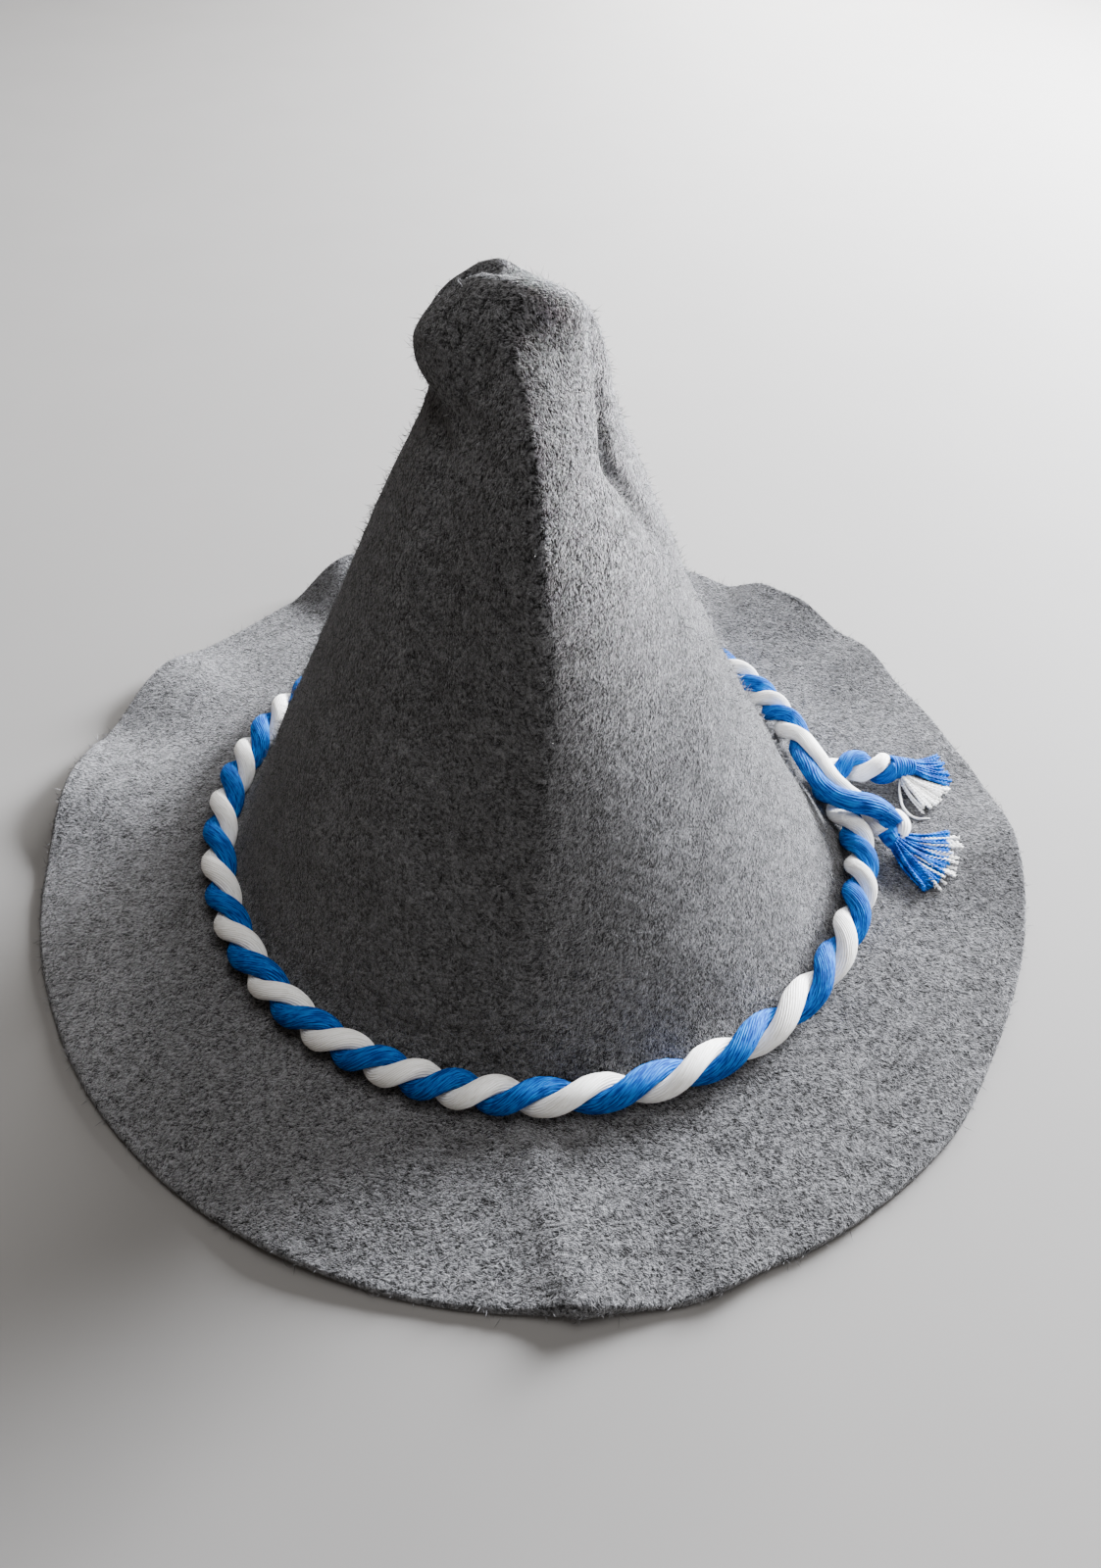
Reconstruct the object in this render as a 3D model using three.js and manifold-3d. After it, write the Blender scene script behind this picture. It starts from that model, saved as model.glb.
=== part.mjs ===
// Pointed felt hat with a twisted cord band, in millimetres, +Z up, front towards -Y.
// Crown and brim are one hollow felt solid. The band is a two-strand cord whose ends are tied and tasselled.
import * as THREE from 'three';
import { mergeVertices } from 'three/addons/utils/BufferGeometryUtils.js';
import Module from 'manifold-3d';

const wasm = await Module();
wasm.setup();

// Driving dimensions
const FELT = 2.5;                 // felt thickness
const SLANTED_FELT = 2.85;        // level thickness of the slanted crown wall
const BRIM_RADIUS = 152.5;
const WAVE_START = 104;           // the brim is flat inside this radius
const WAVE_GROWTH = 1.6;          // power by which a wave grows towards the edge
const TIP_HEIGHT = 181.2;
const HOLLOW_HEIGHT = 170;        // top of the hollow inside
const HOLLOW_SHOULDER = 154;      // where the hollow starts to close
const FELT_COLUMNS = 72;
const GAP = 0.3;                  // clearance between neighbouring pieces

const STRAND_OFFSET = 3;          // strand centre to cord centre
const STRAND_DEPTH = 2.6;         // half size of a strand across the cord
const STRAND_WIDTH = 3.6;         // half size of a strand round the cord
const STRAND_SIDES = 6;
const STEPS_PER_TWIST = 6;
const CORD_RADIUS = STRAND_OFFSET + STRAND_DEPTH;
const CORD_HEIGHT = FELT + GAP + CORD_RADIUS;
const TIE_SQUASH = 0.72;          // the two runs are pressed flatter where they cross
const UNDER_HEIGHT = FELT + GAP + CORD_RADIUS * TIE_SQUASH;
const OVER_HEIGHT = UNDER_HEIGHT + 2 * CORD_RADIUS * TIE_SQUASH + GAP;

const LOCK_RADIUS = 1.5;          // one lock of yarn ends at its root
const LOCK_TIP = 0.55;            // share of that radius left at the tip
const LOCK_SHORTER = 0.12;        // how much shorter the outermost locks of a fan are
const LOCK_SIDES = 4;
const LOCK_STEPS = 3;

const COLOURS = { felt: 0x77777a, blue: 0x2472cf, white: 0xe9e8e3 };

// Crown sections from foot to tip: middle is the axis in x, set the axis in y, left, right and depth
// the half sizes towards -x, +x and both ways in y, crease the height of the ridge down the front,
// ridge the azimuth that it follows and spread how far round it reaches towards +x
const CROWN = [
  { z: 5.6, middle: 0, set: 0, left: 92.6, right: 94.8, depth: 93,
    crease: 0.3, ridge: -86, spread: 30 },
  { z: 9, middle: -0.6, set: 0, left: 90.5, right: 92, depth: 90.5,
    crease: 0.8, ridge: -86, spread: 30 },
  { z: 25, middle: -2.7, set: -0.2, left: 81.7, right: 81.4, depth: 81.5,
    crease: 3, ridge: -84.6, spread: 32 },
  { z: 50, middle: -4.9, set: -0.6, left: 68.8, right: 68, depth: 68,
    crease: 5.6, ridge: -82.8, spread: 36 },
  { z: 80, middle: -5.8, set: -1, left: 54.1, right: 53.4, depth: 53,
    crease: 8.6, ridge: -82, spread: 44 },
  { z: 110, middle: -6.3, set: -1.5, left: 40.6, right: 40, depth: 39.5,
    crease: 11, ridge: -80.6, spread: 56 },
  { z: 135, middle: -6.4, set: -1.9, left: 29, right: 28.8, depth: 28,
    crease: 11.6, ridge: -81, spread: 62 },
  { z: 149, middle: -6.4, set: -2.1, left: 22.4, right: 22.9, depth: 21,
    crease: 10.4, ridge: -82.2, spread: 62 },
  { z: 154, middle: -6.4, set: -2.3, left: 21, right: 21.4, depth: 18.8,
    crease: 9, ridge: -83, spread: 62 },
  { z: 158, middle: -6.4, set: -2.5, left: 23.8, right: 20.6, depth: 16.8,
    crease: 7.4, ridge: -84, spread: 62 },
  { z: 162, middle: -6.4, set: -2.8, left: 24.6, right: 19.6, depth: 14.6,
    crease: 5.6, ridge: -86, spread: 62 },
  { z: 166, middle: -6.4, set: -3, left: 24.4, right: 18.3, depth: 12.6,
    crease: 3.8, ridge: -92, spread: 62 },
  { z: 170, middle: -6.5, set: -3.1, left: 22.6, right: 17.3, depth: 10.8,
    crease: 2.2, ridge: -102, spread: 62 },
  { z: 173.5, middle: -6.8, set: -3.1, left: 19.6, right: 16, depth: 9.2,
    crease: 1.1, ridge: -115, spread: 62 },
  { z: 176.5, middle: -7.2, set: -3.1, left: 15.8, right: 13.4, depth: 7.6,
    crease: 0.5, ridge: -126, spread: 62 },
  { z: 178.8, middle: -8.8, set: -3.2, left: 11.4, right: 9.6, depth: 6,
    crease: 0.1, ridge: -135, spread: 62 },
  { z: 180.4, middle: -10.4, set: -3, left: 6, right: 5, depth: 3.4,
    crease: 0, ridge: -138, spread: 62 },
];
const LEFT_SPREAD = 0.65;         // the ridge's spread towards -x, as a share of that towards +x
const RIDGE_POWER = 1.5;

// The foot of the crown, where it turns out into the brim, as half sizes of an oval
const FOOT = { left: 98.8, right: 101.6, depth: 100.2 };

// Dent where the cord pulls the foot in behind the tie: its azimuth, its spread to lower and higher azimuth,
// its depth at the foot and the heights between which it fades
const FOOT_DENT = { azimuth: 20, before: 26, after: 34, depth: 6.5, bottom: 6, top: 40 };

// The turn from crown to brim: distance in from the foot and height, on the outside and on the inside
const OUTER_TURN = [
  { inward: 3.8, height: FELT + 0.9 },
  { inward: 0, height: FELT },
];
const INNER_TURN = [
  { inward: 2, height: 0 },
  { inward: 5, height: 1 },
  { inward: 8.1, height: 3.8 },
];

// Where the felt has its rings of points: heights on the crown, and shares of the way from foot to brim edge
const OUTSIDE_RINGS = [
  180.4, 178.8, 176.5, 173.5, 170, 166, 162, 158, 154, 149, 143, 135, 124, 110, 90, 66, 42, 22, 9, 5.6,
];
const INSIDE_RINGS = [8.2, 28, 54, 84, 112, 134, 148, 157, 164, 168];
const BRIM_RINGS = [0.26, 0.5, 0.75, 1];

// Tucks where the felt folds in at the two sides of the pinched tip, from bottom to top
const RIGHT_TUCK = [
  { z: 98, azimuth: 8, depth: 0 },
  { z: 110, azimuth: -5, depth: 0.9 },
  { z: 120, azimuth: -15, depth: 1.6 },
  { z: 128, azimuth: -23.5, depth: 2.4 },
  { z: 136.5, azimuth: -31, depth: 3.4 },
  { z: 144, azimuth: -39, depth: 4.4 },
  { z: 154.5, azimuth: -28, depth: 2.4 },
  { z: 161, azimuth: -21, depth: 1.6 },
  { z: 168, azimuth: -14.5, depth: 1.3 },
  { z: 176, azimuth: -8, depth: 0.8 },
];
const LEFT_TUCK = [
  { z: 126, azimuth: 233, depth: 0 },
  { z: 141, azimuth: 227, depth: 1.1 },
  { z: 147, azimuth: 220, depth: 1.7 },
  { z: 153, azimuth: 202, depth: 2.2 },
  { z: 166, azimuth: 176, depth: 2.2 },
  { z: 176, azimuth: 180, depth: 1.2 },
];

// Half widths of the tucks towards lower and higher azimuth: the right one is a slit under a folded edge
const RIGHT_TUCK_WIDTH = { before: 2, after: 4.5 };
const LEFT_TUCK_WIDTH = { before: 3.8, after: 3.8 };

// Groove over the top of the tip between its front and back lips
const GROOVE_DEPTH = 4;
const GROOVE_WIDTH = 1.8;
const GROOVE_SET = 1.8;           // the back lip is the thinner one
const GROOVE_START = 168;
const GROOVE_FULL = 176;
const BACK_LIP_RISE = 1.6;        // the back lip stands above the front one on its left
const BACK_LIP_DROP = 1.5;        // and lies below it on its right
const BACK_LIP_LEFT = -12;        // x where the back lip starts to fall
const BACK_LIP_RIGHT = -3;        // x where it has fallen

// Waves of the brim: azimuth of the crest, its spread to lower and higher azimuth, and its lift at the edge
const WAVES = [
  { azimuth: -112, before: 14, after: 14, lift: 1.6 },
  { azimuth: -84, before: 9, after: 9, lift: 2 },
  { azimuth: -71, before: 6, after: 8, lift: 1.4 },
  { azimuth: -2, before: 14, after: 12, lift: 5 },
  { azimuth: 38, before: 9, after: 6, lift: 4.5 },
  { azimuth: 47.5, before: 9, after: 7, lift: 6 },
  { azimuth: 55, before: 10, after: 7, lift: 8 },
  { azimuth: 67, before: 8, after: 10, lift: 2 },
  { azimuth: 90, before: 12, after: 12, lift: 5 },
  { azimuth: 121, before: 15, after: 10, lift: 12 },
  { azimuth: 153.5, before: 9, after: 14, lift: 6.5 },
  { azimuth: 176, before: 14, after: 14, lift: 7 },
];

// Places where the brim was cut a little wider or narrower
const EDGE_CUT = [
  { azimuth: -76, before: 10, after: 10, wider: 2 },
  { azimuth: -28, before: 18, after: 18, wider: -2 },
  { azimuth: 20, before: 16, after: 16, wider: -2 },
  { azimuth: 139, before: 12, after: 12, wider: -2.5 },
];

// Route of the cord by lengths of one twist, from the upper free end, under the tie, once round the crown
// and over the tie to the lower free end. Azimuth falls all the way round, and out is the distance
// from the foot of the crown.
const ROUTE = [
  { at: -2.8, azimuth: 12.2, out: 23.4, height: CORD_HEIGHT, squash: 1 },
  { at: -2.6, azimuth: 12.2, out: 20, height: CORD_HEIGHT, squash: 1 },
  { at: -2.3, azimuth: 12.9, out: 15.6, height: CORD_HEIGHT, squash: 1 },
  { at: -2, azimuth: 14.2, out: 10.4, height: CORD_HEIGHT, squash: 0.92 },
  { at: -1.75, azimuth: 13.6, out: 4.2, height: UNDER_HEIGHT + 0.8, squash: 0.8 },
  { at: -1.5, azimuth: 11, out: -1.4, height: UNDER_HEIGHT + 1, squash: TIE_SQUASH },
  { at: -1, azimuth: 5.4, out: -2.2, height: UNDER_HEIGHT + 1.2, squash: TIE_SQUASH },
  { at: -0.5, azimuth: -1.6, out: -1.6, height: CORD_HEIGHT + 0.5, squash: 0.88 },
  { at: 0, azimuth: -8, out: -0.2, height: CORD_HEIGHT + 0.2, squash: 1 },
  { at: 1, azimuth: -20, out: 0.3, height: CORD_HEIGHT + 0.1, squash: 1 },
  { at: 2, azimuth: -36, out: 0.3, height: CORD_HEIGHT + 0.1, squash: 1 },
  { at: 4, azimuth: -74, out: 0.3, height: CORD_HEIGHT + 0.1, squash: 1 },
  { at: 5, azimuth: -90, out: 0.3, height: CORD_HEIGHT + 0.1, squash: 1 },
  { at: 8, azimuth: -127, out: 0.3, height: CORD_HEIGHT + 0.1, squash: 1 },
  { at: 13, azimuth: -199, out: 0.3, height: CORD_HEIGHT + 0.1, squash: 1 },
  { at: 22, azimuth: -320, out: 0.6, height: CORD_HEIGHT + 0.1, squash: 1 },
  { at: 23, azimuth: -331.2, out: 0.6, height: CORD_HEIGHT + 0.8, squash: 1 },
  { at: 23.5, azimuth: -339.6, out: -1.4, height: CORD_HEIGHT + 3.2, squash: 0.9 },
  { at: 23.9, azimuth: -347.4, out: -4.8, height: OVER_HEIGHT + 0.1, squash: 0.8 },
  { at: 24.25, azimuth: -353.6, out: -6.4, height: OVER_HEIGHT + 1.4, squash: TIE_SQUASH },
  { at: 24.5, azimuth: -357.6, out: -4, height: OVER_HEIGHT + 1.5, squash: TIE_SQUASH },
  { at: 24.75, azimuth: -359.1, out: 1.9, height: OVER_HEIGHT + 0.5, squash: 0.8 },
  { at: 25, azimuth: -359.6, out: 7.2, height: CORD_HEIGHT + 3.4, squash: 0.95 },
  { at: 25.2, azimuth: -361.8, out: 10, height: CORD_HEIGHT + 0.8, squash: 1 },
];

// Part of the route where the cord comes untwisted: turns of its twist that are missing so far
const UNTWIST = [
  { at: 23.5, missing: 0 },
  { at: 24.4, missing: 0.76 },
  { at: 25, missing: 1 },
];
const BLUE_PHASE = 90;            // angle round the cord of the blue strand at whole twists
const ROUTE_STEP = 0.02;          // part of a twist over which the cord's direction is taken

// Tassels: the head's place and half sizes, then the fan of its locks by heading, spread and length
const TASSELS = [
  { name: 'upper_tassel_blue', colour: 'blue', x: 121.2, y: 26.4, z: 7.6, long: 3.2, wide: 4.6, tall: 4.4,
    heading: 4, spread: 20, locks: 5, length: 15 },
  { name: 'upper_tassel_white', colour: 'white', x: 124.8, y: 19.6, z: 5.4, long: 2.4, wide: 2.4, tall: 2.3,
    heading: -70, spread: 64, locks: 5, length: 13 },
  { name: 'lower_tassel_blue', colour: 'blue', x: 112.6, y: -7.4, z: 6.8, long: 3.4, wide: 3.4, tall: 3.4,
    heading: -26, spread: 54, locks: 7, length: 18 },
  { name: 'lower_tassel_white', colour: 'white', x: 116.6, y: -2.2, z: 6.6, long: 2.4, wide: 2.4, tall: 2.6,
    heading: 8, spread: 16, locks: 3, length: 15 },
];

const radians = THREE.MathUtils.degToRad;

// Smallest signed angle in degrees from one azimuth to another
function turnTo(from, to) {
  return THREE.MathUtils.euclideanModulo(to - from + 180, 360) - 180;
}

// Function of key that passes smoothly through one column of a table, without overshooting its rows
function columnOf(rows, key, name) {
  const knots = rows.map((row) => row[key]);
  const values = rows.map((row) => row[name]);
  const last = rows.length - 1;
  const slopes = knots.slice(1).map((knot, i) => (values[i + 1] - values[i]) / (knot - knots[i]));
  const tangents = knots.map((knot, i) => {
    if (i === 0 || i === last) return slopes[Math.min(i, last - 1)];
    const product = slopes[i - 1] * slopes[i];
    return product > 0 ? 2 * product / (slopes[i - 1] + slopes[i]) : 0;
  });
  return (at) => {
    const x = THREE.MathUtils.clamp(at, knots[0], knots[last]);
    const i = Math.min(knots.filter((knot) => knot <= x).length - 1, last - 1);
    const span = knots[i + 1] - knots[i];
    const u = (x - knots[i]) / span;
    const bend = (values[i] * (1 + 2 * u) + tangents[i] * span * u) * (1 - u) ** 2;
    return bend + (values[i + 1] * (3 - 2 * u) - tangents[i + 1] * span * (1 - u)) * u ** 2;
  };
}

function columnsOf(rows, key) {
  const names = Object.keys(rows[0]).filter((name) => name !== key);
  return Object.fromEntries(names.map((name) => [name, columnOf(rows, key, name)]));
}

const crown = columnsOf(CROWN, 'z');
const tucks = [
  { ...columnsOf(RIGHT_TUCK, 'z'), ...RIGHT_TUCK_WIDTH },
  { ...columnsOf(LEFT_TUCK, 'z'), ...LEFT_TUCK_WIDTH },
];
const route = columnsOf(ROUTE, 'at');
const untwist = columnsOf(UNTWIST, 'at');

// Squared cosine that is 1 at a row's azimuth and 0 at its spread to either side
function bumpRound(azimuth, row) {
  const off = turnTo(row.azimuth, azimuth);
  const share = Math.abs(off) / (off < 0 ? row.before : row.after);
  return share < 1 ? Math.cos(share * Math.PI / 2) ** 2 : 0;
}

function sum(numbers) {
  return numbers.reduce((total, number) => total + number, 0);
}

// Radius of an oval whose left and right halves differ
function ovalRadius(azimuth, left, right, depth) {
  const across = Math.cos(radians(azimuth));
  return 1 / Math.hypot(across / (across < 0 ? left : right), Math.sin(radians(azimuth)) / depth);
}

function footRadius(azimuth) {
  const oval = ovalRadius(azimuth, FOOT.left, FOOT.right, FOOT.depth);
  return oval - FOOT_DENT.depth * bumpRound(azimuth, FOOT_DENT);
}

// Outer radius of the crown about its own axis: an oval with a front ridge, less the two tucks and the dent
function crownRadius(azimuth, z) {
  const oval = ovalRadius(azimuth, crown.left(z), crown.right(z), crown.depth(z));
  const offRidge = turnTo(crown.ridge(z), azimuth);
  const spread = crown.spread(z) * (offRidge < 0 ? LEFT_SPREAD : 1);
  const ridge = crown.crease(z) * Math.max(0, 1 - Math.abs(offRidge) / spread) ** RIDGE_POWER;
  const folds = tucks.map((tuck) => {
    const off = radians(turnTo(tuck.azimuth(z), azimuth)) * oval;
    const across = off / (off < 0 ? tuck.before : tuck.after);
    return tuck.depth(z) * Math.exp(-across * across);
  });
  const low = 1 - THREE.MathUtils.smoothstep(z, FOOT_DENT.bottom, FOOT_DENT.top);
  return oval + ridge - sum(folds) - FOOT_DENT.depth * low * bumpRound(azimuth, FOOT_DENT);
}

function crownPoint(azimuth, z, radius) {
  const x = crown.middle(z) + radius * Math.cos(radians(azimuth));
  const y = crown.set(z) + radius * Math.sin(radians(azimuth));
  return new THREE.Vector3(x, y, z);
}

// Crown point, with the groove and the uneven back lip on top
function outerCrown(azimuth, z) {
  const { smoothstep } = THREE.MathUtils;
  const point = crownPoint(azimuth, z, crownRadius(azimuth, z));
  const fromGroove = (point.y - crown.set(z) - GROOVE_SET) / GROOVE_WIDTH;
  const groove = GROOVE_DEPTH * Math.exp(-fromGroove * fromGroove);
  const toRight = smoothstep(point.x, BACK_LIP_LEFT, BACK_LIP_RIGHT);
  const lip = THREE.MathUtils.lerp(BACK_LIP_RISE, -BACK_LIP_DROP, toRight) * smoothstep(fromGroove, 0, 1);
  point.z += (lip - groove) * smoothstep(z, GROOVE_START, GROOVE_FULL);
  return point;
}

function innerCrown(azimuth, z) {
  const closing = Math.max(0, z - HOLLOW_SHOULDER) / (HOLLOW_HEIGHT - HOLLOW_SHOULDER);
  const radius = (crownRadius(azimuth, z) - SLANTED_FELT) * Math.sqrt(1 - closing * closing);
  return crownPoint(azimuth, z, radius);
}

// Height of the brim's underside above the surface it lies on
function brimLift(azimuth, radius) {
  const growth = Math.max(0, (radius - WAVE_START) / (BRIM_RADIUS - WAVE_START)) ** WAVE_GROWTH;
  return growth * sum(WAVES.map((wave) => wave.lift * bumpRound(azimuth, wave)));
}

function brimEdge(azimuth) {
  return BRIM_RADIUS + sum(EDGE_CUT.map((cut) => cut.wider * bumpRound(azimuth, cut)));
}

function polar(azimuth, radius, z) {
  return new THREE.Vector3(radius * Math.cos(radians(azimuth)), radius * Math.sin(radians(azimuth)), z);
}

function brimPoint(azimuth, share, above) {
  const radius = THREE.MathUtils.lerp(footRadius(azimuth), brimEdge(azimuth), share);
  return polar(azimuth, radius, brimLift(azimuth, radius) + above);
}

// Closed solid through a row of rings, each of as many points, that ends in a point or a flat cap both ways.
// Each four-sided face is split along its shorter diagonal.
function ringSolid(rings, firstPole, lastPole) {
  const sides = rings[0].length;
  const points = [...rings.flat(), firstPole, lastPole];
  const first = points.length - 2;
  const last = points.length - 1;
  const faces = [];
  for (let j = 0; j < sides; j += 1) {
    const next = (j + 1) % sides;
    faces.push(first, j, next);
    for (let i = 0; i + 1 < rings.length; i += 1) {
      const [a, b, c, d] = [i * sides + j, (i + 1) * sides + j, (i + 1) * sides + next, i * sides + next];
      const alongAC = points[a].distanceTo(points[c]) <= points[b].distanceTo(points[d]);
      faces.push(...(alongAC ? [a, b, c, a, c, d] : [a, b, d, b, c, d]));
    }
    const end = (rings.length - 1) * sides;
    faces.push(end + j, last, end + next);
  }
  const geometry = new THREE.BufferGeometry().setFromPoints(points);
  geometry.setIndex(faces);
  return geometry;
}

function centreOf(ring) {
  return ring.reduce((total, point) => total.add(point), new THREE.Vector3()).divideScalar(ring.length);
}

// Felt body: down the outside of the crown, out over the brim, back underneath and up inside
function feltBody() {
  const azimuths = Array.from({ length: FELT_COLUMNS }, (_, j) => j * 360 / FELT_COLUMNS);
  const ringOf = (point) => azimuths.map(point);
  const turnRing = (row) => ringOf((azimuth) => polar(azimuth, footRadius(azimuth) - row.inward, row.height));
  const rings = [
    ...OUTSIDE_RINGS.map((z) => ringOf((azimuth) => outerCrown(azimuth, z))),
    ...OUTER_TURN.map(turnRing),
    ...BRIM_RINGS.map((share) => ringOf((azimuth) => brimPoint(azimuth, share, FELT))),
    ...BRIM_RINGS.toReversed().map((share) => ringOf((azimuth) => brimPoint(azimuth, share, 0))),
    ...INNER_TURN.map(turnRing),
    ...INSIDE_RINGS.map((z) => ringOf((azimuth) => innerCrown(azimuth, z))),
  ];
  const tip = crownPoint(0, TIP_HEIGHT, 0).setZ(TIP_HEIGHT - GROOVE_DEPTH);
  const ceiling = crownPoint(0, HOLLOW_HEIGHT, 0);
  return ringSolid(rings, tip, ceiling);
}

// Cord axis at a place of the route, with its level and upright cross directions
function cordFrame(place) {
  const at = (t) => {
    const azimuth = route.azimuth(t);
    return polar(azimuth, footRadius(azimuth) + route.out(t), route.height(t));
  };
  const along = at(place + ROUTE_STEP).sub(at(place - ROUTE_STEP)).normalize();
  const level = along.clone().cross(new THREE.Vector3(0, 0, 1)).normalize();
  const upright = level.clone().cross(along);
  return { centre: at(place), level, upright };
}

// One strand: an oval section that winds round the cord's axis
function strand(phase) {
  const start = ROUTE[0].at;
  const twists = ROUTE.at(-1).at - start;
  const steps = Math.round(twists * STEPS_PER_TWIST);
  const rings = Array.from({ length: steps + 1 }, (_, step) => {
    const at = start + twists * step / steps;
    const { centre, level, upright } = cordFrame(at);
    const wind = radians(phase) + (at - untwist.missing(at)) * 2 * Math.PI;
    return Array.from({ length: STRAND_SIDES }, (__, side) => {
      const round = 2 * Math.PI * side / STRAND_SIDES;
      const across = STRAND_OFFSET + STRAND_DEPTH * Math.cos(round);
      const spot = new THREE.Vector2(across, STRAND_WIDTH * Math.sin(round));
      spot.rotateAround(new THREE.Vector2(), wind);
      const rise = spot.y * route.squash(at);
      return centre.clone().addScaledVector(level, spot.x).addScaledVector(upright, rise);
    });
  });
  return ringSolid(rings, centreOf(rings[0]), centreOf(rings.at(-1)));
}

// One lock of yarn ends: a tapering tube that leaves the head and comes down onto the brim
function yarnLock(tassel, heading, length) {
  const ahead = new THREE.Vector3(Math.cos(radians(heading)), Math.sin(radians(heading)), 0);
  const across = new THREE.Vector3(ahead.y, -ahead.x, 0);
  const rings = Array.from({ length: LOCK_STEPS + 1 }, (_, step) => {
    const share = step / LOCK_STEPS;
    const size = LOCK_RADIUS * THREE.MathUtils.lerp(1, LOCK_TIP, share);
    const centre = new THREE.Vector3(tassel.x, tassel.y, 0).addScaledVector(ahead, length * share);
    const azimuth = THREE.MathUtils.radToDeg(Math.atan2(centre.y, centre.x));
    const rest = FELT + brimLift(azimuth, Math.hypot(centre.x, centre.y)) + GAP + LOCK_RADIUS;
    centre.z = THREE.MathUtils.lerp(tassel.z, rest, Math.sin(share * Math.PI / 2));
    return Array.from({ length: LOCK_SIDES }, (__, side) => {
      const round = 2 * Math.PI * side / LOCK_SIDES;
      const point = centre.clone().addScaledVector(across, size * Math.cos(round));
      point.z += size * Math.sin(round);
      return point;
    });
  });
  return ringSolid(rings, centreOf(rings[0]), centreOf(rings.at(-1)));
}

function toSolid(geometry) {
  const plain = geometry.clone();
  plain.deleteAttribute('normal');
  plain.deleteAttribute('uv');
  const merged = mergeVertices(plain);
  const vertProperties = Float32Array.from(merged.attributes.position.array);
  const triVerts = Uint32Array.from(merged.index.array);
  return new wasm.Manifold(new wasm.Mesh({ numProp: 3, vertProperties, triVerts }));
}

function fromSolid(solid) {
  const mesh = solid.getMesh();
  const geometry = new THREE.BufferGeometry();
  geometry.setAttribute('position', new THREE.BufferAttribute(Float32Array.from(mesh.vertProperties), 3));
  geometry.setIndex(Array.from(mesh.triVerts));
  return geometry;
}

// Tassel: a bound head with a fan of locks joined to it
function tasselBody(tassel) {
  const head = new THREE.SphereGeometry(1, 8, 6);
  head.scale(tassel.long, tassel.wide, tassel.tall);
  head.rotateZ(radians(tassel.heading));
  head.translate(tassel.x, tassel.y, tassel.z);
  let solid = toSolid(head);
  for (let i = 0; i < tassel.locks; i += 1) {
    const share = i / (tassel.locks - 1) - 0.5;
    const length = tassel.length * (1 - LOCK_SHORTER * (2 * share) ** 2);
    solid = solid.add(toSolid(yarnLock(tassel, tassel.heading + tassel.spread * share, length)));
  }
  return fromSolid(solid);
}

function piece(name, geometry, colour, roughness) {
  geometry.computeVertexNormals();
  const material = new THREE.MeshStandardMaterial({ color: colour, roughness, metalness: 0 });
  const mesh = new THREE.Mesh(geometry, material);
  mesh.name = name;
  return mesh;
}

const hat = new THREE.Group();
hat.add(piece('felt_body', feltBody(), COLOURS.felt, 0.95));
hat.add(piece('band_blue_strand', strand(BLUE_PHASE), COLOURS.blue, 0.7));
hat.add(piece('band_white_strand', strand(BLUE_PHASE + 180), COLOURS.white, 0.75));
for (const tassel of TASSELS) {
  hat.add(piece(tassel.name, tasselBody(tassel), COLOURS[tassel.colour], 0.75));
}

export default hat;
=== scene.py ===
# %% [markdown]
# # A pointed felt hat with a twisted cord
# The real hat is one piece of heather grey wool felt, blocked into a cone with a waved brim, and a
# two-strand cord of blue and white yarn lies round its foot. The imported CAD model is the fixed
# frame: it says where everything is, in metres. Here each of its plain solids gets a finer stand-in.

# %% Load the frame
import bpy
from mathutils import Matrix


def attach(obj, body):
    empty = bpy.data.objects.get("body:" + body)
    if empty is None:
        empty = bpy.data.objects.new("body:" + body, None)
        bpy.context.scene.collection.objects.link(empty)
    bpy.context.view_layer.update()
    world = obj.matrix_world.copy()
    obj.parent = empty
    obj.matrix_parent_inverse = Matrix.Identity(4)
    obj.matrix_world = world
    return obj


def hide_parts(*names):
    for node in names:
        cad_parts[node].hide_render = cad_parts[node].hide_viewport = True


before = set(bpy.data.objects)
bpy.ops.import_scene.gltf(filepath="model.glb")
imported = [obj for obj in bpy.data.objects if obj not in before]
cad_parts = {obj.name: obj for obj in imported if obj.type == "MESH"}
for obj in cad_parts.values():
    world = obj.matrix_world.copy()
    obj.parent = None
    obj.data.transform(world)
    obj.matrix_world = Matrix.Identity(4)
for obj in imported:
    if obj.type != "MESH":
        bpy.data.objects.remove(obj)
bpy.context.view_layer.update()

from types import SimpleNamespace

import bpy
import numpy as np
from mathutils import Matrix

MM = 0.001
BODY = "root"

# %% [markdown]
# ## Small helpers
# Colours are picked as sRGB hex values, as in a paint program, but shaders add light in linear
# values, so one function turns the first into the second. Others add a shader node or an object.

# %% Colour and nodes
def to_linear(hex_colour):
    """Linear RGBA of an sRGB hex: c is c/12.92 up to 0.04045, and ((c + 0.055)/1.055)^2.4 above."""
    channels = np.array([int(hex_colour[i:i + 2], 16) for i in (1, 3, 5)]) / 255
    linear = np.where(channels <= 0.04045, channels / 12.92, ((channels + 0.055) / 1.055) ** 2.4)
    return (*linear.tolist(), 1.0)


def add_node(material, kind, inputs, **settings):
    """Add a node with properties as settings, and a value or the socket to link for each input."""
    tree = material.node_tree
    node = tree.nodes.new("ShaderNode" + kind)
    for name, value in settings.items():
        setattr(node, name, value)
    for name, value in inputs.items():
        if isinstance(value, bpy.types.NodeSocket):
            tree.links.new(value, node.inputs[name])
        else:
            node.inputs[name].default_value = value
    return node


def new_material(name):
    """An empty node material."""
    material = bpy.data.materials.new(name)
    material.use_nodes = True
    material.node_tree.nodes.clear()
    return material


def per_metre(size_mm):
    """Texture scale with features about that many millimetres across, on coordinates in metres."""
    return 1 / (size_mm * MM)


print("mid grey is", [round(c, 3) for c in to_linear("#808080")])

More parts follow.
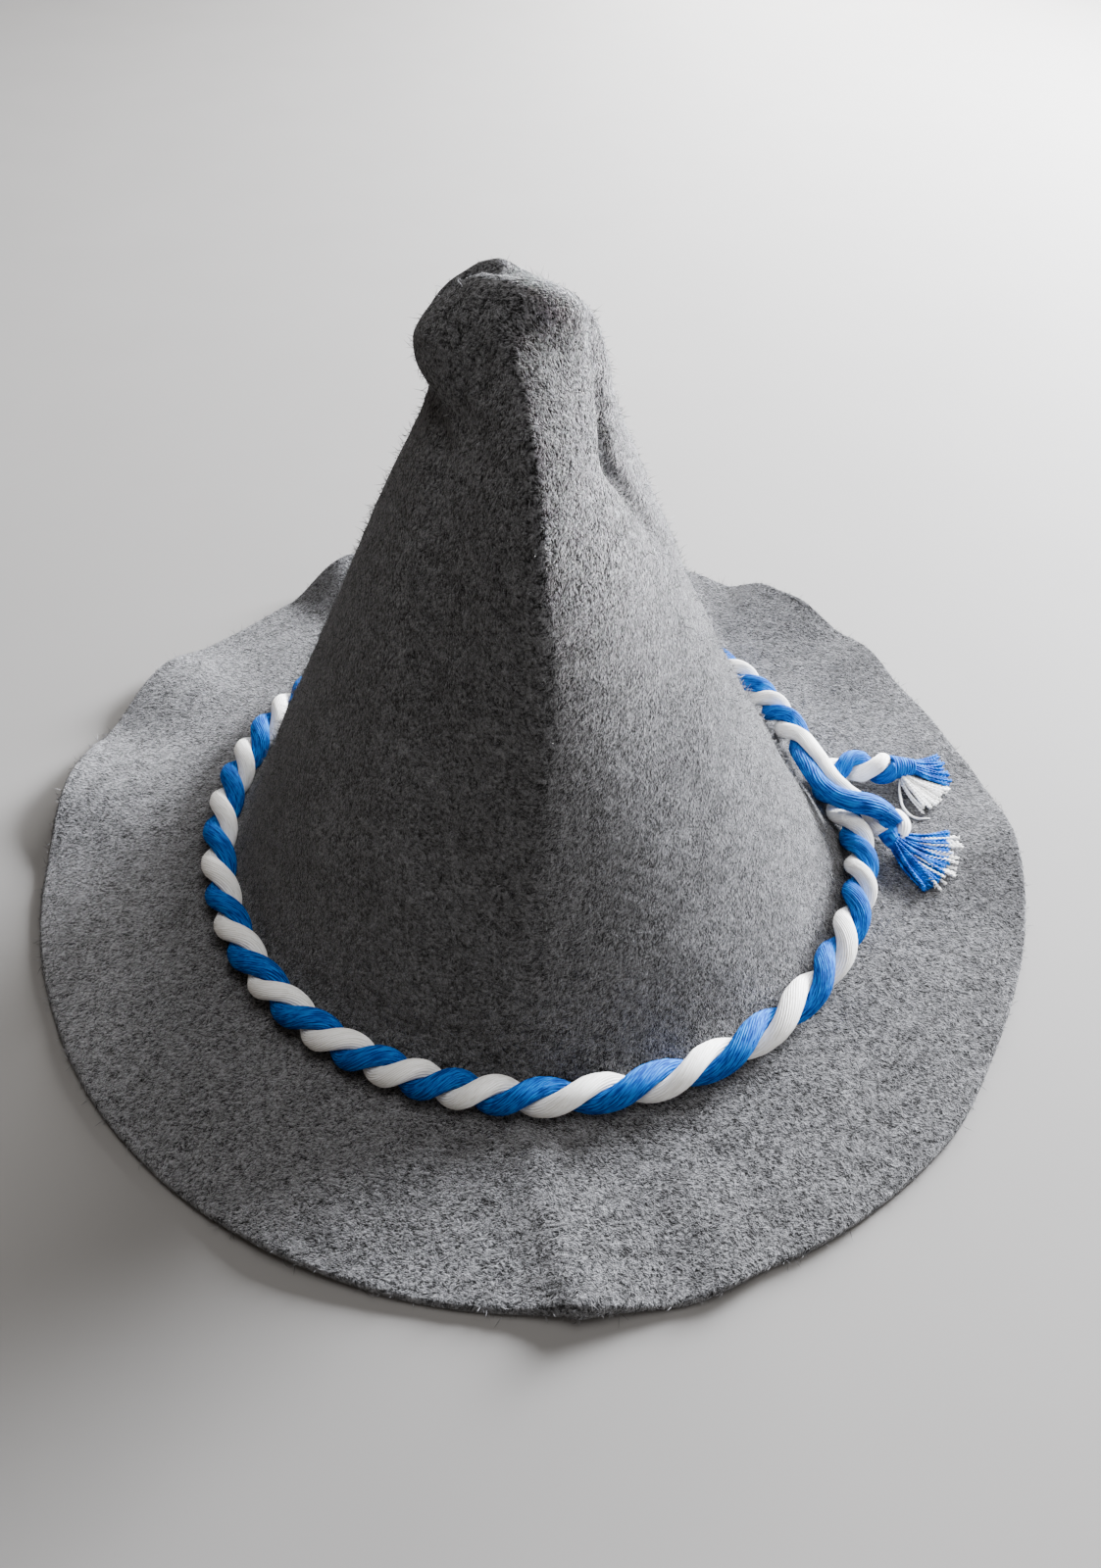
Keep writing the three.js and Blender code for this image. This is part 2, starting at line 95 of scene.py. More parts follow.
# %% Objects and directions
def add_object(name, data, axes=None, place=None):
    """Link an object to the scene, at a place in metres with its axes as the matrix's columns."""
    thing = bpy.data.objects.new(name, data)
    if axes is not None:
        matrix = np.eye(4)
        matrix[:3, :3] = np.stack(axes, -1)
        matrix[:3, 3] = place
        thing.matrix_world = Matrix(matrix.tolist())
    bpy.context.scene.collection.objects.link(thing)
    return thing


def unit(vectors):
    """Vectors divided by their length."""
    return vectors / np.linalg.norm(vectors, axis=-1, keepdims=True)


def across_of(along):
    """Level and upright directions across a direction."""
    level = unit(np.cross(along, [0, 0, 1]))
    return level, np.cross(level, along)


def circle(sides, level, upright):
    """Directions round a circle: cos x level + sin x upright."""
    turn = (np.arange(sides) * 2 * np.pi / sides)[:, None]
    return np.cos(turn) * level[..., None, :] + np.sin(turn) * upright[..., None, :]


print("across +Y lie", *across_of(np.array([0.0, 1, 0])))

# %% [markdown]
# ## From arrays to a mesh
# Every piece is made of rings of points: along a path they are a tube, and round an axis a cone. They
# come as one array of tubes x rings x points, and a fan of triangles closes each end of a tube, so
# there is never a hole to look into.

# %% Faces of rings
def ring_faces(tubes, rows, columns):
    """Quads that join point j of ring i to point j+1 and ring i+1, and the fans at both ends."""
    i, j = np.meshgrid(np.arange(rows - 1), np.arange(columns), indexing="ij")
    after = (j + 1) % columns
    quads = np.stack([i * columns + j, (i + 1) * columns + j,
                      (i + 1) * columns + after, i * columns + after], -1)
    first = np.arange(tubes)[:, None] * rows * columns
    quads = (first[:, None] + quads.reshape(1, -1, 4)).reshape(-1, 4)
    last = first + (rows - 1) * columns
    pole = tubes * rows * columns + np.arange(tubes)[:, None] * 2
    column = np.arange(columns)
    following = (column + 1) % columns
    start = np.stack(np.broadcast_arrays(pole, first + column, first + following), -1)
    finish = np.stack(np.broadcast_arrays(pole + 1, last + following, last + column), -1)
    return quads, np.concatenate([start.reshape(-1, 3), finish.reshape(-1, 3)])


def ring_uv(along, around, tubes, flipped, fan_corners):
    """Coordinates of the quads' corners: along by ring, around by point, and 0 in the fans."""
    i, j = np.meshgrid(np.arange(len(along) - 1), np.arange(len(around) - 1), indexing="ij")
    down = np.stack([i, i + 1, i + 1, i], -1).reshape(-1, 4)
    right = np.stack([j, j, j + 1, j + 1], -1).reshape(-1, 4)
    if flipped:
        down, right = down[:, ::-1], right[:, ::-1]
    corners = np.stack([along[down], around[right]], -1).reshape(-1, 2)
    return np.concatenate([np.tile(corners, (tubes, 1)), np.zeros((fan_corners, 2))])


print("a tube of 3 rings of 8 points has", *map(len, ring_faces(1, 3, 8)), "quads and triangles")

# %% Rings to mesh
def ring_mesh(name, rings, poles, material, uv=None, values=None):
    """Closed mesh through rings of points in millimetres.

    rings is tubes x rings x points x 3 and poles is tubes x 2 x 3, the first and last points. uv
    gives two arrays, rings and points + 1 long, for the two coordinates of each corner, and values
    one number for each tube, kept as "shade". Faces are turned round if their volume, the sum of
    a . ((b - a) x (c - a)) over the triangles, is negative.
    """
    tubes, rows, columns = rings.shape[:3]
    quads, fans = ring_faces(tubes, rows, columns)
    points = np.concatenate([rings.reshape(-1, 3), poles.reshape(-1, 3)]) * MM
    triangles = np.concatenate([quads[:, [0, 1, 2]], quads[:, [0, 2, 3]], fans])
    a, b, c = (points[triangles[:, k]] for k in range(3))
    inside_out = np.einsum("ij,ij->", np.cross(b - a, c - a), a) < 0
    if inside_out:
        quads, fans = quads[:, ::-1], fans[:, ::-1]

    mesh = bpy.data.meshes.new(name)
    corners = np.concatenate([quads.ravel(), fans.ravel()]).astype(np.int32)
    starts = np.concatenate([np.arange(len(quads)) * 4, quads.size + np.arange(len(fans)) * 3])
    mesh.vertices.add(len(points))
    mesh.vertices.foreach_set("co", points.astype(np.float32).ravel())
    mesh.loops.add(len(corners))
    mesh.loops.foreach_set("vertex_index", corners)
    mesh.polygons.add(len(starts))
    mesh.polygons.foreach_set("loop_start", starts.astype(np.int32))
    if uv is not None:
        corner_uv = ring_uv(*uv, tubes, inside_out, fans.size)
        layer = mesh.uv_layers.new(name="surface")
        layer.uv.foreach_set("vector", corner_uv.astype(np.float32).ravel())
    if values is not None:
        shade = np.concatenate([np.repeat(values, rows * columns), np.repeat(values, 2)])
        attribute = mesh.attributes.new("shade", "FLOAT", "POINT")
        attribute.data.foreach_set("value", shade.astype(np.float32))
    mesh.update(calc_edges=True)
    mesh.validate()
    mesh.shade_smooth()
    mesh.materials.append(material)
    piece = add_object(name, mesh)
    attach(piece, BODY)
    print(name, "has", 2 * len(quads) + len(fans), "triangles")
    return piece


# %% [markdown]
# ## Camera
# The hat is seen from close above its front through a wide lens, so the tip comes towards the eye.
# Lens and place are those that put the brim, the cord and the tip where the picture has them.

# %% Camera
CAMERA_PLACE = (1.2, -256.1, 281.6)
CAMERA_HEADING = 89.44  # degrees round +Z, so almost along +Y
CAMERA_DOWN = 45.4  # degrees below the horizon
CAMERA_ROLL = 1.94
LENS = 27
SENSOR = 36  # along the longer side of the picture
CLIP_START = 0.01  # metres

# its axes are right, up and back, from heading, downward angle and roll
heading, down, roll = np.radians([CAMERA_HEADING, CAMERA_DOWN, CAMERA_ROLL])
flat = np.cos(down)
ahead = np.array([flat * np.cos(heading), flat * np.sin(heading), -np.sin(down)])
level, upward = across_of(ahead)
right = np.cos(roll) * level + np.sin(roll) * upward
data = bpy.data.cameras.new("camera")
data.lens = LENS
data.sensor_width = SENSOR
data.clip_start = CLIP_START
axes = [right, np.cross(right, ahead), -ahead]
camera = add_object("camera", data, axes, np.array(CAMERA_PLACE) * MM)
bpy.context.scene.camera = camera
print("camera at", [round(v, 4) for v in camera.location], "lens", LENS)

# %% [markdown]
# ## Floor and light
# A plain pale floor and soft light. The main light is a large cool one to the right and a little
# behind, so the right of the crown is bright, the left is in shade and the fold down the front parts
# the two. One further behind brightens the right edge and the back of the brim, a narrow one picks
# out the right of the upper crown, one from above the cord on the left, and a weak one from the
# front right and a dim warm sky fill the rest.

# %% Floor
FLOOR_SIDE = 9  # metres
MOTTLE = 60  # millimetres

# painted board at z = 0, seen as an even grey with a faint mottle
material = new_material("matt_painted_board")
place = add_node(material, "TexCoord", {})
mottle = add_node(material, "TexNoise", {
    "Vector": place.outputs["Object"], "Scale": per_metre(MOTTLE), "Detail": 3})
tone = add_node(material, "Mix", {
    "Factor": mottle.outputs["Fac"], 6: to_linear("#767472"), 7: to_linear("#7b7977")},
    data_type="RGBA")
paint = add_node(material, "BsdfPrincipled", {
    "Base Color": tone.outputs[2], "Roughness": 0.8})
add_node(material, "OutputMaterial", {"Surface": paint.outputs[0]})
half = FLOOR_SIDE / 2
mesh = bpy.data.meshes.new("floor")
corners = [(-half, -half, 0), (half, -half, 0), (half, half, 0), (-half, half, 0)]
mesh.from_pydata(corners, [], [(0, 1, 2, 3)])
mesh.materials.append(material)
floor = add_object("floor", mesh)
print("floor", FLOOR_SIDE, "m square")

# %% Light
# name, azimuth and height in degrees, distance and size in metres, power in watts, colour, height of
# the place that it faces in metres, and degrees over which it fans out
LIGHTS = [
    ("side_light", 42, 21, 1.3, 0.5, 178, "#f7faff", 0, 180),
    ("edge_light", 76, 15, 1.6, 0.6, 62, "#ffffff", 0, 180),
    ("front_light", -20, 14, 1.6, 1.0, 11, "#ffffff", 0, 180),
    ("top_light", 0, 80, 1.3, 0.8, 10, "#ffffff", 0, 180),
    ("crown_light", 20, 8, 0.5, 0.1, 0.42, "#ffffff", 0.152, 13),
]
SKY_COLOUR = "#fff0e0"
SKY_STRENGTH = 0.15

# each is a square at a distance from a place on the Z axis, which it faces
for name, azimuth, height, distance, size, power, colour, facing, fan in LIGHTS:
    a, h = np.radians([azimuth, height])
    back = np.array([np.cos(h) * np.cos(a), np.cos(h) * np.sin(a), np.sin(h)])
    data = bpy.data.lights.new(name, "AREA")
    data.size = size
    data.energy = power
    data.color = to_linear(colour)[:3]
    data.spread = np.radians(fan)
    add_object(name, data, [*across_of(-back), back], back * distance + [0, 0, facing])
sky = bpy.data.worlds.new("sky")
sky.use_nodes = True
sky_inputs = sky.node_tree.nodes["Background"].inputs
sky_inputs["Color"].default_value = to_linear(SKY_COLOUR)
sky_inputs["Strength"].default_value = SKY_STRENGTH
bpy.context.scene.world = sky
print(len(LIGHTS), "lights and a sky")

# %% [markdown]
# ## The felt's form
# Felt is blocked: wet wool is pulled over a form and dries as one curved sheet. So the hat is one
# surface of two parameters: the azimuth round the axis, and the way down the outside of the crown,
# out over the brim, round the cut edge, back underneath and up inside. Short tables give the
# sections, and a smooth curve runs through each of their columns.

# %% Smooth columns of a table
def smooth_through(knots, values):
    """Cubics through a column, a row's slope the harmonic mean of its neighbours', or 0 at a turn."""
    slopes = np.diff(values) / np.diff(knots)
    product = slopes[:-1] * slopes[1:]
    rising = product > 0
    middle = np.where(rising, 2 * product / np.where(rising, slopes[:-1] + slopes[1:], 1), 0)
    tangents = np.concatenate([slopes[:1], middle, slopes[-1:]])

    def at(x):
        x = np.clip(x, knots[0], knots[-1])
        i = np.clip(np.searchsorted(knots, x, side="right") - 1, 0, len(knots) - 2)
        span = knots[i + 1] - knots[i]
        u = (x - knots[i]) / span
        start = values[i] * (1 + 2 * u) + tangents[i] * span * u
        end = values[i + 1] * (3 - 2 * u) - tangents[i + 1] * span * (1 - u)
        return start * (1 - u) ** 2 + end * u ** 2

    return at


def columns_of(names, rows):
    """Smooth functions of the first column, one for each of the others."""
    table = np.array(rows, float).T
    return SimpleNamespace(**{name: smooth_through(table[0], values)
                              for name, values in zip(names.split()[1:], table[1:])})


# height, the section's middle in x and y, its half widths and half depth, then the front ridge's
# height, azimuth and spread
CROWN = columns_of("z middle set left right depth crease ridge spread", [
    (5.6, 0, 0, 92.6, 94.8, 93, 0.3, -86, 30),
    (9, -0.6, 0, 90.5, 92, 90.5, 0.8, -86, 30),
    (25, -2.7, -0.2, 81.7, 81.4, 81.5, 3, -84.6, 32),
    (50, -4.9, -0.6, 68.8, 68, 68, 5.6, -82.8, 36),
    (80, -5.8, -1, 54.1, 53.4, 53, 8.6, -82, 44),
    (110, -6.3, -1.5, 40.6, 40, 39.5, 11, -80.6, 56),
    (135, -6.4, -1.9, 29, 28.8, 28, 11.6, -81, 62),
    (149, -6.4, -2.1, 22.4, 22.9, 21, 10.4, -82.2, 62),
    (154, -6.4, -2.3, 21, 21.4, 18.8, 9, -83, 62),
    (158, -6.4, -2.5, 23.8, 20.6, 16.8, 7.4, -84, 62),
    (162, -6.4, -2.8, 24.6, 19.6, 14.6, 5.6, -86, 62),
    (166, -6.4, -3, 24.4, 18.3, 12.6, 3.8, -92, 62),
    (170, -6.5, -3.1, 22.6, 17.3, 10.8, 2.2, -102, 62),
    (173.5, -6.8, -3.1, 19.6, 16, 9.2, 1.1, -115, 62),
    (176.5, -7.2, -3.1, 15.8, 13.4, 7.6, 0.5, -126, 62),
    (178.8, -8.8, -3.2, 11.4, 9.6, 6, 0.1, -135, 62),
    (180.4, -10.4, -3, 6, 5, 3.4, 0, -138, 62),
])
print("crown is", round(float(CROWN.left(80) + CROWN.right(80)), 1), "mm wide at 80 mm")

# %% [markdown]
# ### Crown
# A section of the crown is an oval with a ridge down the front, where the hat was folded flat. The
# pinched tip folds the wall in at both sides, so two tucks are taken off the radius: the left one is
# a soft hollow, and the right one a slit under a folded edge. A groove runs over the top between the
# front lip and the back one, which is lower on its right. The cord pulls the foot in behind its tie.

# %% Angles and steps
def turn_to(start, end):
    """Smallest signed angle in degrees from one azimuth to another."""
    return (end - start + 180) % 360 - 180


def bump_round(azimuth, centre, before, after):
    """Squared cosine that is 1 at its centre and 0 at its spread to either side."""
    off = turn_to(centre, azimuth)
    share = np.abs(off) / np.where(off < 0, before, after)
    return np.where(share < 1, np.cos(share * np.pi / 2) ** 2, 0)


def smooth_step(x, low, high):
    """0 below low, 1 above high and 3u^2 - 2u^3 between."""
    u = np.clip((x - low) / (high - low), 0, 1)
    return u * u * (3 - 2 * u)


def polar(azimuth, radius, z):
    """Points at an azimuth in degrees, a radius and a height."""
    a = np.radians(azimuth)
    return np.stack(np.broadcast_arrays(radius * np.cos(a), radius * np.sin(a), z), -1)


print("from 350 to 10 degrees is", turn_to(350, 10))

# %% Foot of the crown
FOOT = SimpleNamespace(left=98.8, right=101.6, depth=100.2)
FOOT_DENT = SimpleNamespace(azimuth=20, before=26, after=34, depth=6.5, bottom=6, top=40)


def oval_radius(azimuth, left, right, depth):
    """Radius of an oval whose halves differ: 1 / hypot(cos/half width, sin/half depth)."""
    across = np.cos(np.radians(azimuth))
    half_width = np.where(across < 0, left, right)
    return 1 / np.hypot(across / half_width, np.sin(np.radians(azimuth)) / depth)


def foot_dent(azimuth):
    """How far the foot is pulled in behind the tie."""
    share = bump_round(azimuth, FOOT_DENT.azimuth, FOOT_DENT.before, FOOT_DENT.after)
    return FOOT_DENT.depth * share


def foot_radius(azimuth):
    """Radius where the crown turns out into the brim: an oval less the dent."""
    return oval_radius(azimuth, FOOT.left, FOOT.right, FOOT.depth) - foot_dent(azimuth)


print("foot at the tie has a radius of", foot_radius(FOOT_DENT.azimuth).round(1), "mm")

# %% Crown section
LEFT_SPREAD = 0.65  # share of the ridge's spread to the right
RIDGE_POWER = 1.5
RIDGE_ROUNDING = 2.5  # degrees over which its fold is rounded
RIGHT_TUCK = columns_of("z azimuth depth", [
    (98, 8, 0), (110, -5, 1.2), (120, -15, 2.1), (128, -23.5, 3.1), (136.5, -31, 4.4),
    (144, -39, 5.3), (154.5, -28, 2.9), (161, -21, 1.6), (168, -14.5, 1.3), (176, -8, 0.8),
])
LEFT_TUCK = columns_of("z azimuth depth", [
    (126, 233, 0), (141, 227, 1.1), (147, 220, 1.7), (153, 202, 2.2), (166, 176, 2.2),
    (176, 180, 1.2),
])
# a tuck and its half width towards lower and higher azimuth
TUCKS = [(RIGHT_TUCK, 2, 3.4), (LEFT_TUCK, 3.8, 3.8)]


def crown_radius(azimuth, z):
    """Oval + ridge x (1 - angle/spread)^1.5 - each tuck x exp(-(distance/width)^2) - the dent.

    The angle off the ridge is hypot(angle, rounding) - rounding, so that the fold has no sharp edge.
    """
    oval = oval_radius(azimuth, CROWN.left(z), CROWN.right(z), CROWN.depth(z))
    off_ridge = turn_to(CROWN.ridge(z), azimuth)
    spread = CROWN.spread(z) * np.where(off_ridge < 0, LEFT_SPREAD, 1)
    rounded = np.hypot(off_ridge, RIDGE_ROUNDING) - RIDGE_ROUNDING
    radius = oval + CROWN.crease(z) * np.maximum(0, 1 - rounded / spread) ** RIDGE_POWER
    for tuck, before, after in TUCKS:
        off = np.radians(turn_to(tuck.azimuth(z), azimuth)) * oval
        radius = radius - tuck.depth(z) * np.exp(-(off / np.where(off < 0, before, after)) ** 2)
    return radius - foot_dent(azimuth) * (1 - smooth_step(z, FOOT_DENT.bottom, FOOT_DENT.top))


def crown_point(azimuth, z, radius):
    """Point of the crown: the leaning axis at that height plus the radius."""
    axis = np.stack(np.broadcast_arrays(CROWN.middle(z), CROWN.set(z), 0 * z), -1)
    return polar(azimuth, radius, z) + axis


print("slit is", round(float(RIGHT_TUCK.depth(140)), 1), "mm deep at 140 mm")

# %% Crown surface
SLANTED_FELT = 2.85  # level thickness of the slanted crown wall
# the groove lies behind the section's middle, and grows with the lip between two heights
GROOVE = SimpleNamespace(depth=4, width=1.8, behind=1.8, start=168, full=176)
# the back lip falls from a rise at the left to a drop at the right, between two places
BACK_LIP = SimpleNamespace(rise=1.6, drop=1.5, left=-12, right=-3)
TIP_HEIGHT = 181.2
HOLLOW_HEIGHT = 170
HOLLOW_SHOULDER = 154


def crown_outside(azimuth, z):
    """Crown point - groove depth x exp(-(distance/width)^2) + a back lip that falls rightwards."""
    point = crown_point(azimuth, z, crown_radius(azimuth, z))
    off_groove = (point[..., 1] - CROWN.set(z) - GROOVE.behind) / GROOVE.width
    to_right = smooth_step(point[..., 0], BACK_LIP.left, BACK_LIP.right)
    fall = (BACK_LIP.rise + BACK_LIP.drop) * to_right
    lip = (BACK_LIP.rise - fall) * smooth_step(off_groove, 0, 1)
    groove = GROOVE.depth * np.exp(-off_groove ** 2)
    point[..., 2] += (lip - groove) * smooth_step(z, GROOVE.start, GROOVE.full)
    return point


def crown_inside(azimuth, z):
    """The same section less the wall, closing as a quarter ellipse above the hollow's shoulder."""
    closing = np.clip((z - HOLLOW_SHOULDER) / (HOLLOW_HEIGHT - HOLLOW_SHOULDER), 0, 1)
    radius = (crown_radius(azimuth, z) - SLANTED_FELT) * np.sqrt(1 - closing ** 2)
    return crown_point(azimuth, z, radius)


print("front of the crown at 80 mm:", crown_outside(np.array(-82.0), np.array(80.0)).round(1))

# %% [markdown]
# ### Brim
# The brim lies flat near the crown and waves towards its cut edge. Each wave is a crest with its own
# spread to either side, as a squared cosine, and it grows outwards by a power of the distance.

# %% Brim surface
FELT = 2.5
BRIM_RADIUS = 152.5
WAVE_START = 104
WAVE_GROWTH = 1.6
# azimuth of the crest, spread to lower and to higher azimuth, lift at the edge
WAVES = [
    (-112, 14, 14, 1.6), (-84, 9, 9, 2), (-71, 6, 8, 1.4), (-2, 14, 12, 5), (38, 9, 6, 4.5),
    (47.5, 9, 7, 6), (55, 10, 7, 8), (67, 8, 10, 2), (90, 12, 12, 5), (121, 15, 10, 12),
    (153.5, 9, 14, 6.5), (176, 14, 14, 7),
]
# azimuth, spread, and how much wider the brim was cut there
EDGE_CUT = [(-76, 10, 2), (-28, 18, -2), (20, 16, -2), (139, 12, -2.5)]


def brim_lift(azimuth, radius):
    """Sum of the waves, times ((radius - start) / (edge - start))^growth."""
    growth = np.maximum(0, (radius - WAVE_START) / (BRIM_RADIUS - WAVE_START)) ** WAVE_GROWTH
    waves = (lift * bump_round(azimuth, at, before, after) for at, before, after, lift in WAVES)
    return growth * sum(waves)


def brim_edge(azimuth):
    """Radius of the cut edge."""
    cuts = (wider * bump_round(azimuth, at, spread, spread) for at, spread, wider in EDGE_CUT)
    return BRIM_RADIUS + sum(cuts)


def azimuth_radius(points):
    """Azimuth in degrees and radius of points."""
    x, y = points[..., 0], points[..., 1]
    return np.degrees(np.arctan2(y, x)), np.hypot(x, y)


def brim_point(azimuth, share, above):
    """Point a share of the way from the foot to the cut edge, that high above the underside."""
    radius = foot_radius(azimuth) * (1 - share) + brim_edge(azimuth) * share
    return polar(azimuth, radius, brim_lift(azimuth, radius) + above)


highest = brim_lift(np.arange(360.0), BRIM_RADIUS).max()
print("brim's highest wave", round(float(highest), 1), "mm")

# %% [markdown]
# ### One closed sheet
# The rows of points of all bands are stacked into one grid. The turn from crown to brim and the cut
# edge are short curves between the bands. Columns lie close together over the slit, and rows at the
# tip, where the form is finest.

# %% Felt grid
COLUMNS = np.concatenate([np.linspace(-46, 14, 130, endpoint=False),
                          np.linspace(14, 314, 230, endpoint=False)])  # degrees
OUTSIDE_ROWS = np.concatenate([np.linspace(180.4, 140, 52), np.linspace(139, 12, 66)])
INSIDE_ROWS = np.linspace(14, 169, 44)
OVER_SHARES = np.linspace(0.06, 0.965, 26)  # of the way from the foot out over the brim
UNDER_SHARES = np.linspace(0.965, 0.02, 16)  # and back underneath
CUT_ANGLES = np.linspace(80, -80, 7)  # degrees up round the cut edge
CUT_TOP_ROWS = 4  # rows of it on the top side
CUT_ROUNDING = 1.1  # how far the cut edge bulges
PULL_OUTSIDE, PULL_INSIDE = 5, 6  # how far the curves from crown to brim are pulled inwards


def arc_between(start, middle, end, rows):
    """Quadratic curve from start to end, pulled towards middle, without its two end points."""
    t = np.linspace(0, 1, rows + 2)[1:-1, None, None]
    return start * (1 - t) ** 2 + 2 * middle * t * (1 - t) + end * t ** 2


def felt_grid():
    """Rows from the tip, down outside, round the edge and up inside, and how many are on top."""
    a = COLUMNS[None, :]
    foot = foot_radius(a)
    outside = crown_outside(a, OUTSIDE_ROWS[:, None])
    over = brim_point(a, OVER_SHARES[:, None], FELT)
    under = brim_point(a, UNDER_SHARES[:, None], 0.0)
    inside = crown_inside(a, INSIDE_ROWS[:, None])
    turn_out = arc_between(outside[-1:], polar(a, foot - PULL_OUTSIDE, FELT), over[:1], rows=9)
    turn_in = arc_between(under[-1:], polar(a, foot - PULL_INSIDE, 0), inside[:1], rows=7)
    round_edge = np.radians(CUT_ANGLES)[:, None]
    lift = brim_lift(a, brim_edge(a)) + FELT / 2 * (1 + np.sin(round_edge))
    cut = polar(a, brim_edge(a) - CUT_ROUNDING * (1 - np.cos(round_edge)), lift)
    top_rows = len(outside) + len(turn_out) + len(over) + CUT_TOP_ROWS
    return np.concatenate([outside, turn_out, over, cut, under, turn_in, inside]), top_rows


def grid_normals(points):
    """Outward normals of the grid, as the cross product of its two directions."""
    round_axis = np.roll(points, -1, 1) - np.roll(points, 1, 1)
    return unit(np.cross(np.gradient(points, axis=0), round_axis))


felt_points, top_rows = felt_grid()
felt_normals = grid_normals(felt_points)
print("felt grid", felt_points.shape[:2], "rows and columns, top side", top_rows, "rows")

# %% [markdown]
# ### Unevenness and the fold on the brim
# Real felt is never quite even, so soft waves push the sheet in and out by a few tenths of a
# millimetre. The crown's front fold goes on over the brim as a low ridge. Both fade near the floor.

# %% Uneven felt
# millimetres across, height and seed of the lumps
LUMPS = [(26, 0.35, 3), (7, 0.14, 4)]
LUMP_WAVES = 14
FULL_TURN = 6.28  # radians
# azimuths at the inner and the outer radius, and the share of the way by which it has fully grown
BRIM_FOLD = SimpleNamespace(height=2.2, width=6.5, rounding=0.9, start=-90.5, end=-85,
                            inner=104, outer=152, grown=0.25)
FLOOR_FADE = 2.4  # height over which the unevenness sets in


def lumps(points, size, seed):
    """Soft unevenness about from -1 to 1: twice the mean of sine waves in random directions."""
    random = np.random.default_rng(seed)
    directions = unit(random.normal(size=(LUMP_WAVES, 3))) * 2 * np.pi / size
    phases = random.uniform(0, FULL_TURN, LUMP_WAVES)
    return np.sin(points @ directions.T + phases).mean(-1) * 2


def brim_fold(points):
    """Ridge over the front of the brim: height x exp(-distance across / width), growing outwards."""
    azimuth, radius = azimuth_radius(points)
    share = (radius - BRIM_FOLD.inner) / (BRIM_FOLD.outer - BRIM_FOLD.inner)
    turned = azimuth - BRIM_FOLD.start - (BRIM_FOLD.end - BRIM_FOLD.start) * share
    across = np.radians(turned) * radius
    distance = np.hypot(across, BRIM_FOLD.rounding) - BRIM_FOLD.rounding
    height = BRIM_FOLD.height * np.exp(-distance / BRIM_FOLD.width)
    return height * smooth_step(share, 0, BRIM_FOLD.grown)


uneven = sum(height * lumps(felt_points, size, seed) for size, height, seed in LUMPS)
uneven[:top_rows] += brim_fold(felt_points[:top_rows])
above_floor = smooth_step(felt_points[..., 2:], 0, FLOOR_FADE)
felt_points = felt_points + felt_normals * uneven[..., None] * above_floor
print("felt is pushed out by up to", round(float(uneven.max()), 1), "mm")

# %% [markdown]
# ### Heather wool felt
# Dyed and undyed wool are carded together before felting, so dark, middle and pale fibres lie matted
# in every direction. The eye sees salt and pepper with curled threads one or two millimetres long,
# soft clouds where one shade gathered, and a dull surface with a pale bloom at grazing angles.

# %% Felt material
# millimetres across a fleck, a tuft and a cloud of one shade, and across a swirl of the fibres
FLECK, CLUMP, CLOUD, SWIRL = 0.95, 2.8, 14.0, 5.0
STROKE = 0.55  # millimetres across a fibre, drawn coarser than it is so that it shows
STROKE_LENGTH = 4  # times longer than it is wide
NAP = 1.1  # millimetres deep
USUAL_LOW, USUAL_HIGH = 0.3, 0.7  # between these lies nearly all of a noise
# millimetres across, detail, shade added at the usual low and high, the axis along which it is drawn
# out into strokes, and how it joins the layers before it
FELT_LAYERS = [
    *[(STROKE, 1, -0.4, 0.45, axis, "MAXIMUM") for axis in range(3)],
    (FLECK, 3, -0.33, 0.59, None, "ADD"),
    (CLUMP, 2, -0.24, 0.24, None, "ADD"),
    (CLOUD, 2, -0.08, 0.08, None, "ADD"),
]


def make_felt():
    """Shade from dark to pale = the palest of three sets of strokes + flecks + tufts + clouds."""
    material = new_material("heather_wool_felt")
    place = add_node(material, "TexCoord", {}).outputs["Object"]
    swirl = add_node(material, "TexNoise", {
        "Vector": place, "Scale": per_metre(SWIRL), "Detail": 1})
    curled = add_node(material, "VectorMath", {
        0: swirl.outputs["Color"], 1: (SWIRL * MM,) * 3, 2: place},
        operation="MULTIPLY_ADD").outputs[0]
    shade = None
    for size, detail, low, high, axis, joined in FELT_LAYERS:
        at = place
        if axis is not None:
            drawn = [1 / STROKE_LENGTH if k == axis else 1 for k in range(3)]
            at = add_node(material, "Mapping", {"Vector": curled, "Scale": drawn}).outputs[0]
        noise = add_node(material, "TexNoise", {
            "Vector": at, "Scale": per_metre(size), "Detail": detail, "Roughness": 0.65})
        layer = add_node(material, "MapRange", {
            "Value": noise.outputs["Fac"], "From Min": USUAL_LOW, "From Max": USUAL_HIGH,
            "To Min": low, "To Max": high}).outputs[0]
        if shade is not None:
            layer = add_node(material, "Math", {0: shade, 1: layer}, operation=joined).outputs[0]
        shade = layer
    colour = add_node(material, "Mix", {
        "Factor": shade, 6: to_linear("#1c1c1d"), 7: to_linear("#8e8e91")}, data_type="RGBA")
    bump = add_node(material, "Bump", {"Height": shade, "Distance": NAP * MM, "Strength": 1.0})
    wool = add_node(material, "BsdfPrincipled", {
        "Base Color": colour.outputs[2], "Roughness": 0.95, "Specular IOR Level": 0.1,
        "Sheen Weight": 0.6, "Sheen Roughness": 0.25, "Sheen Tint": to_linear("#e6e6e8"),
        "Normal": bump.outputs[0]})
    add_node(material, "OutputMaterial", {"Surface": wool.outputs[0]})
    return material


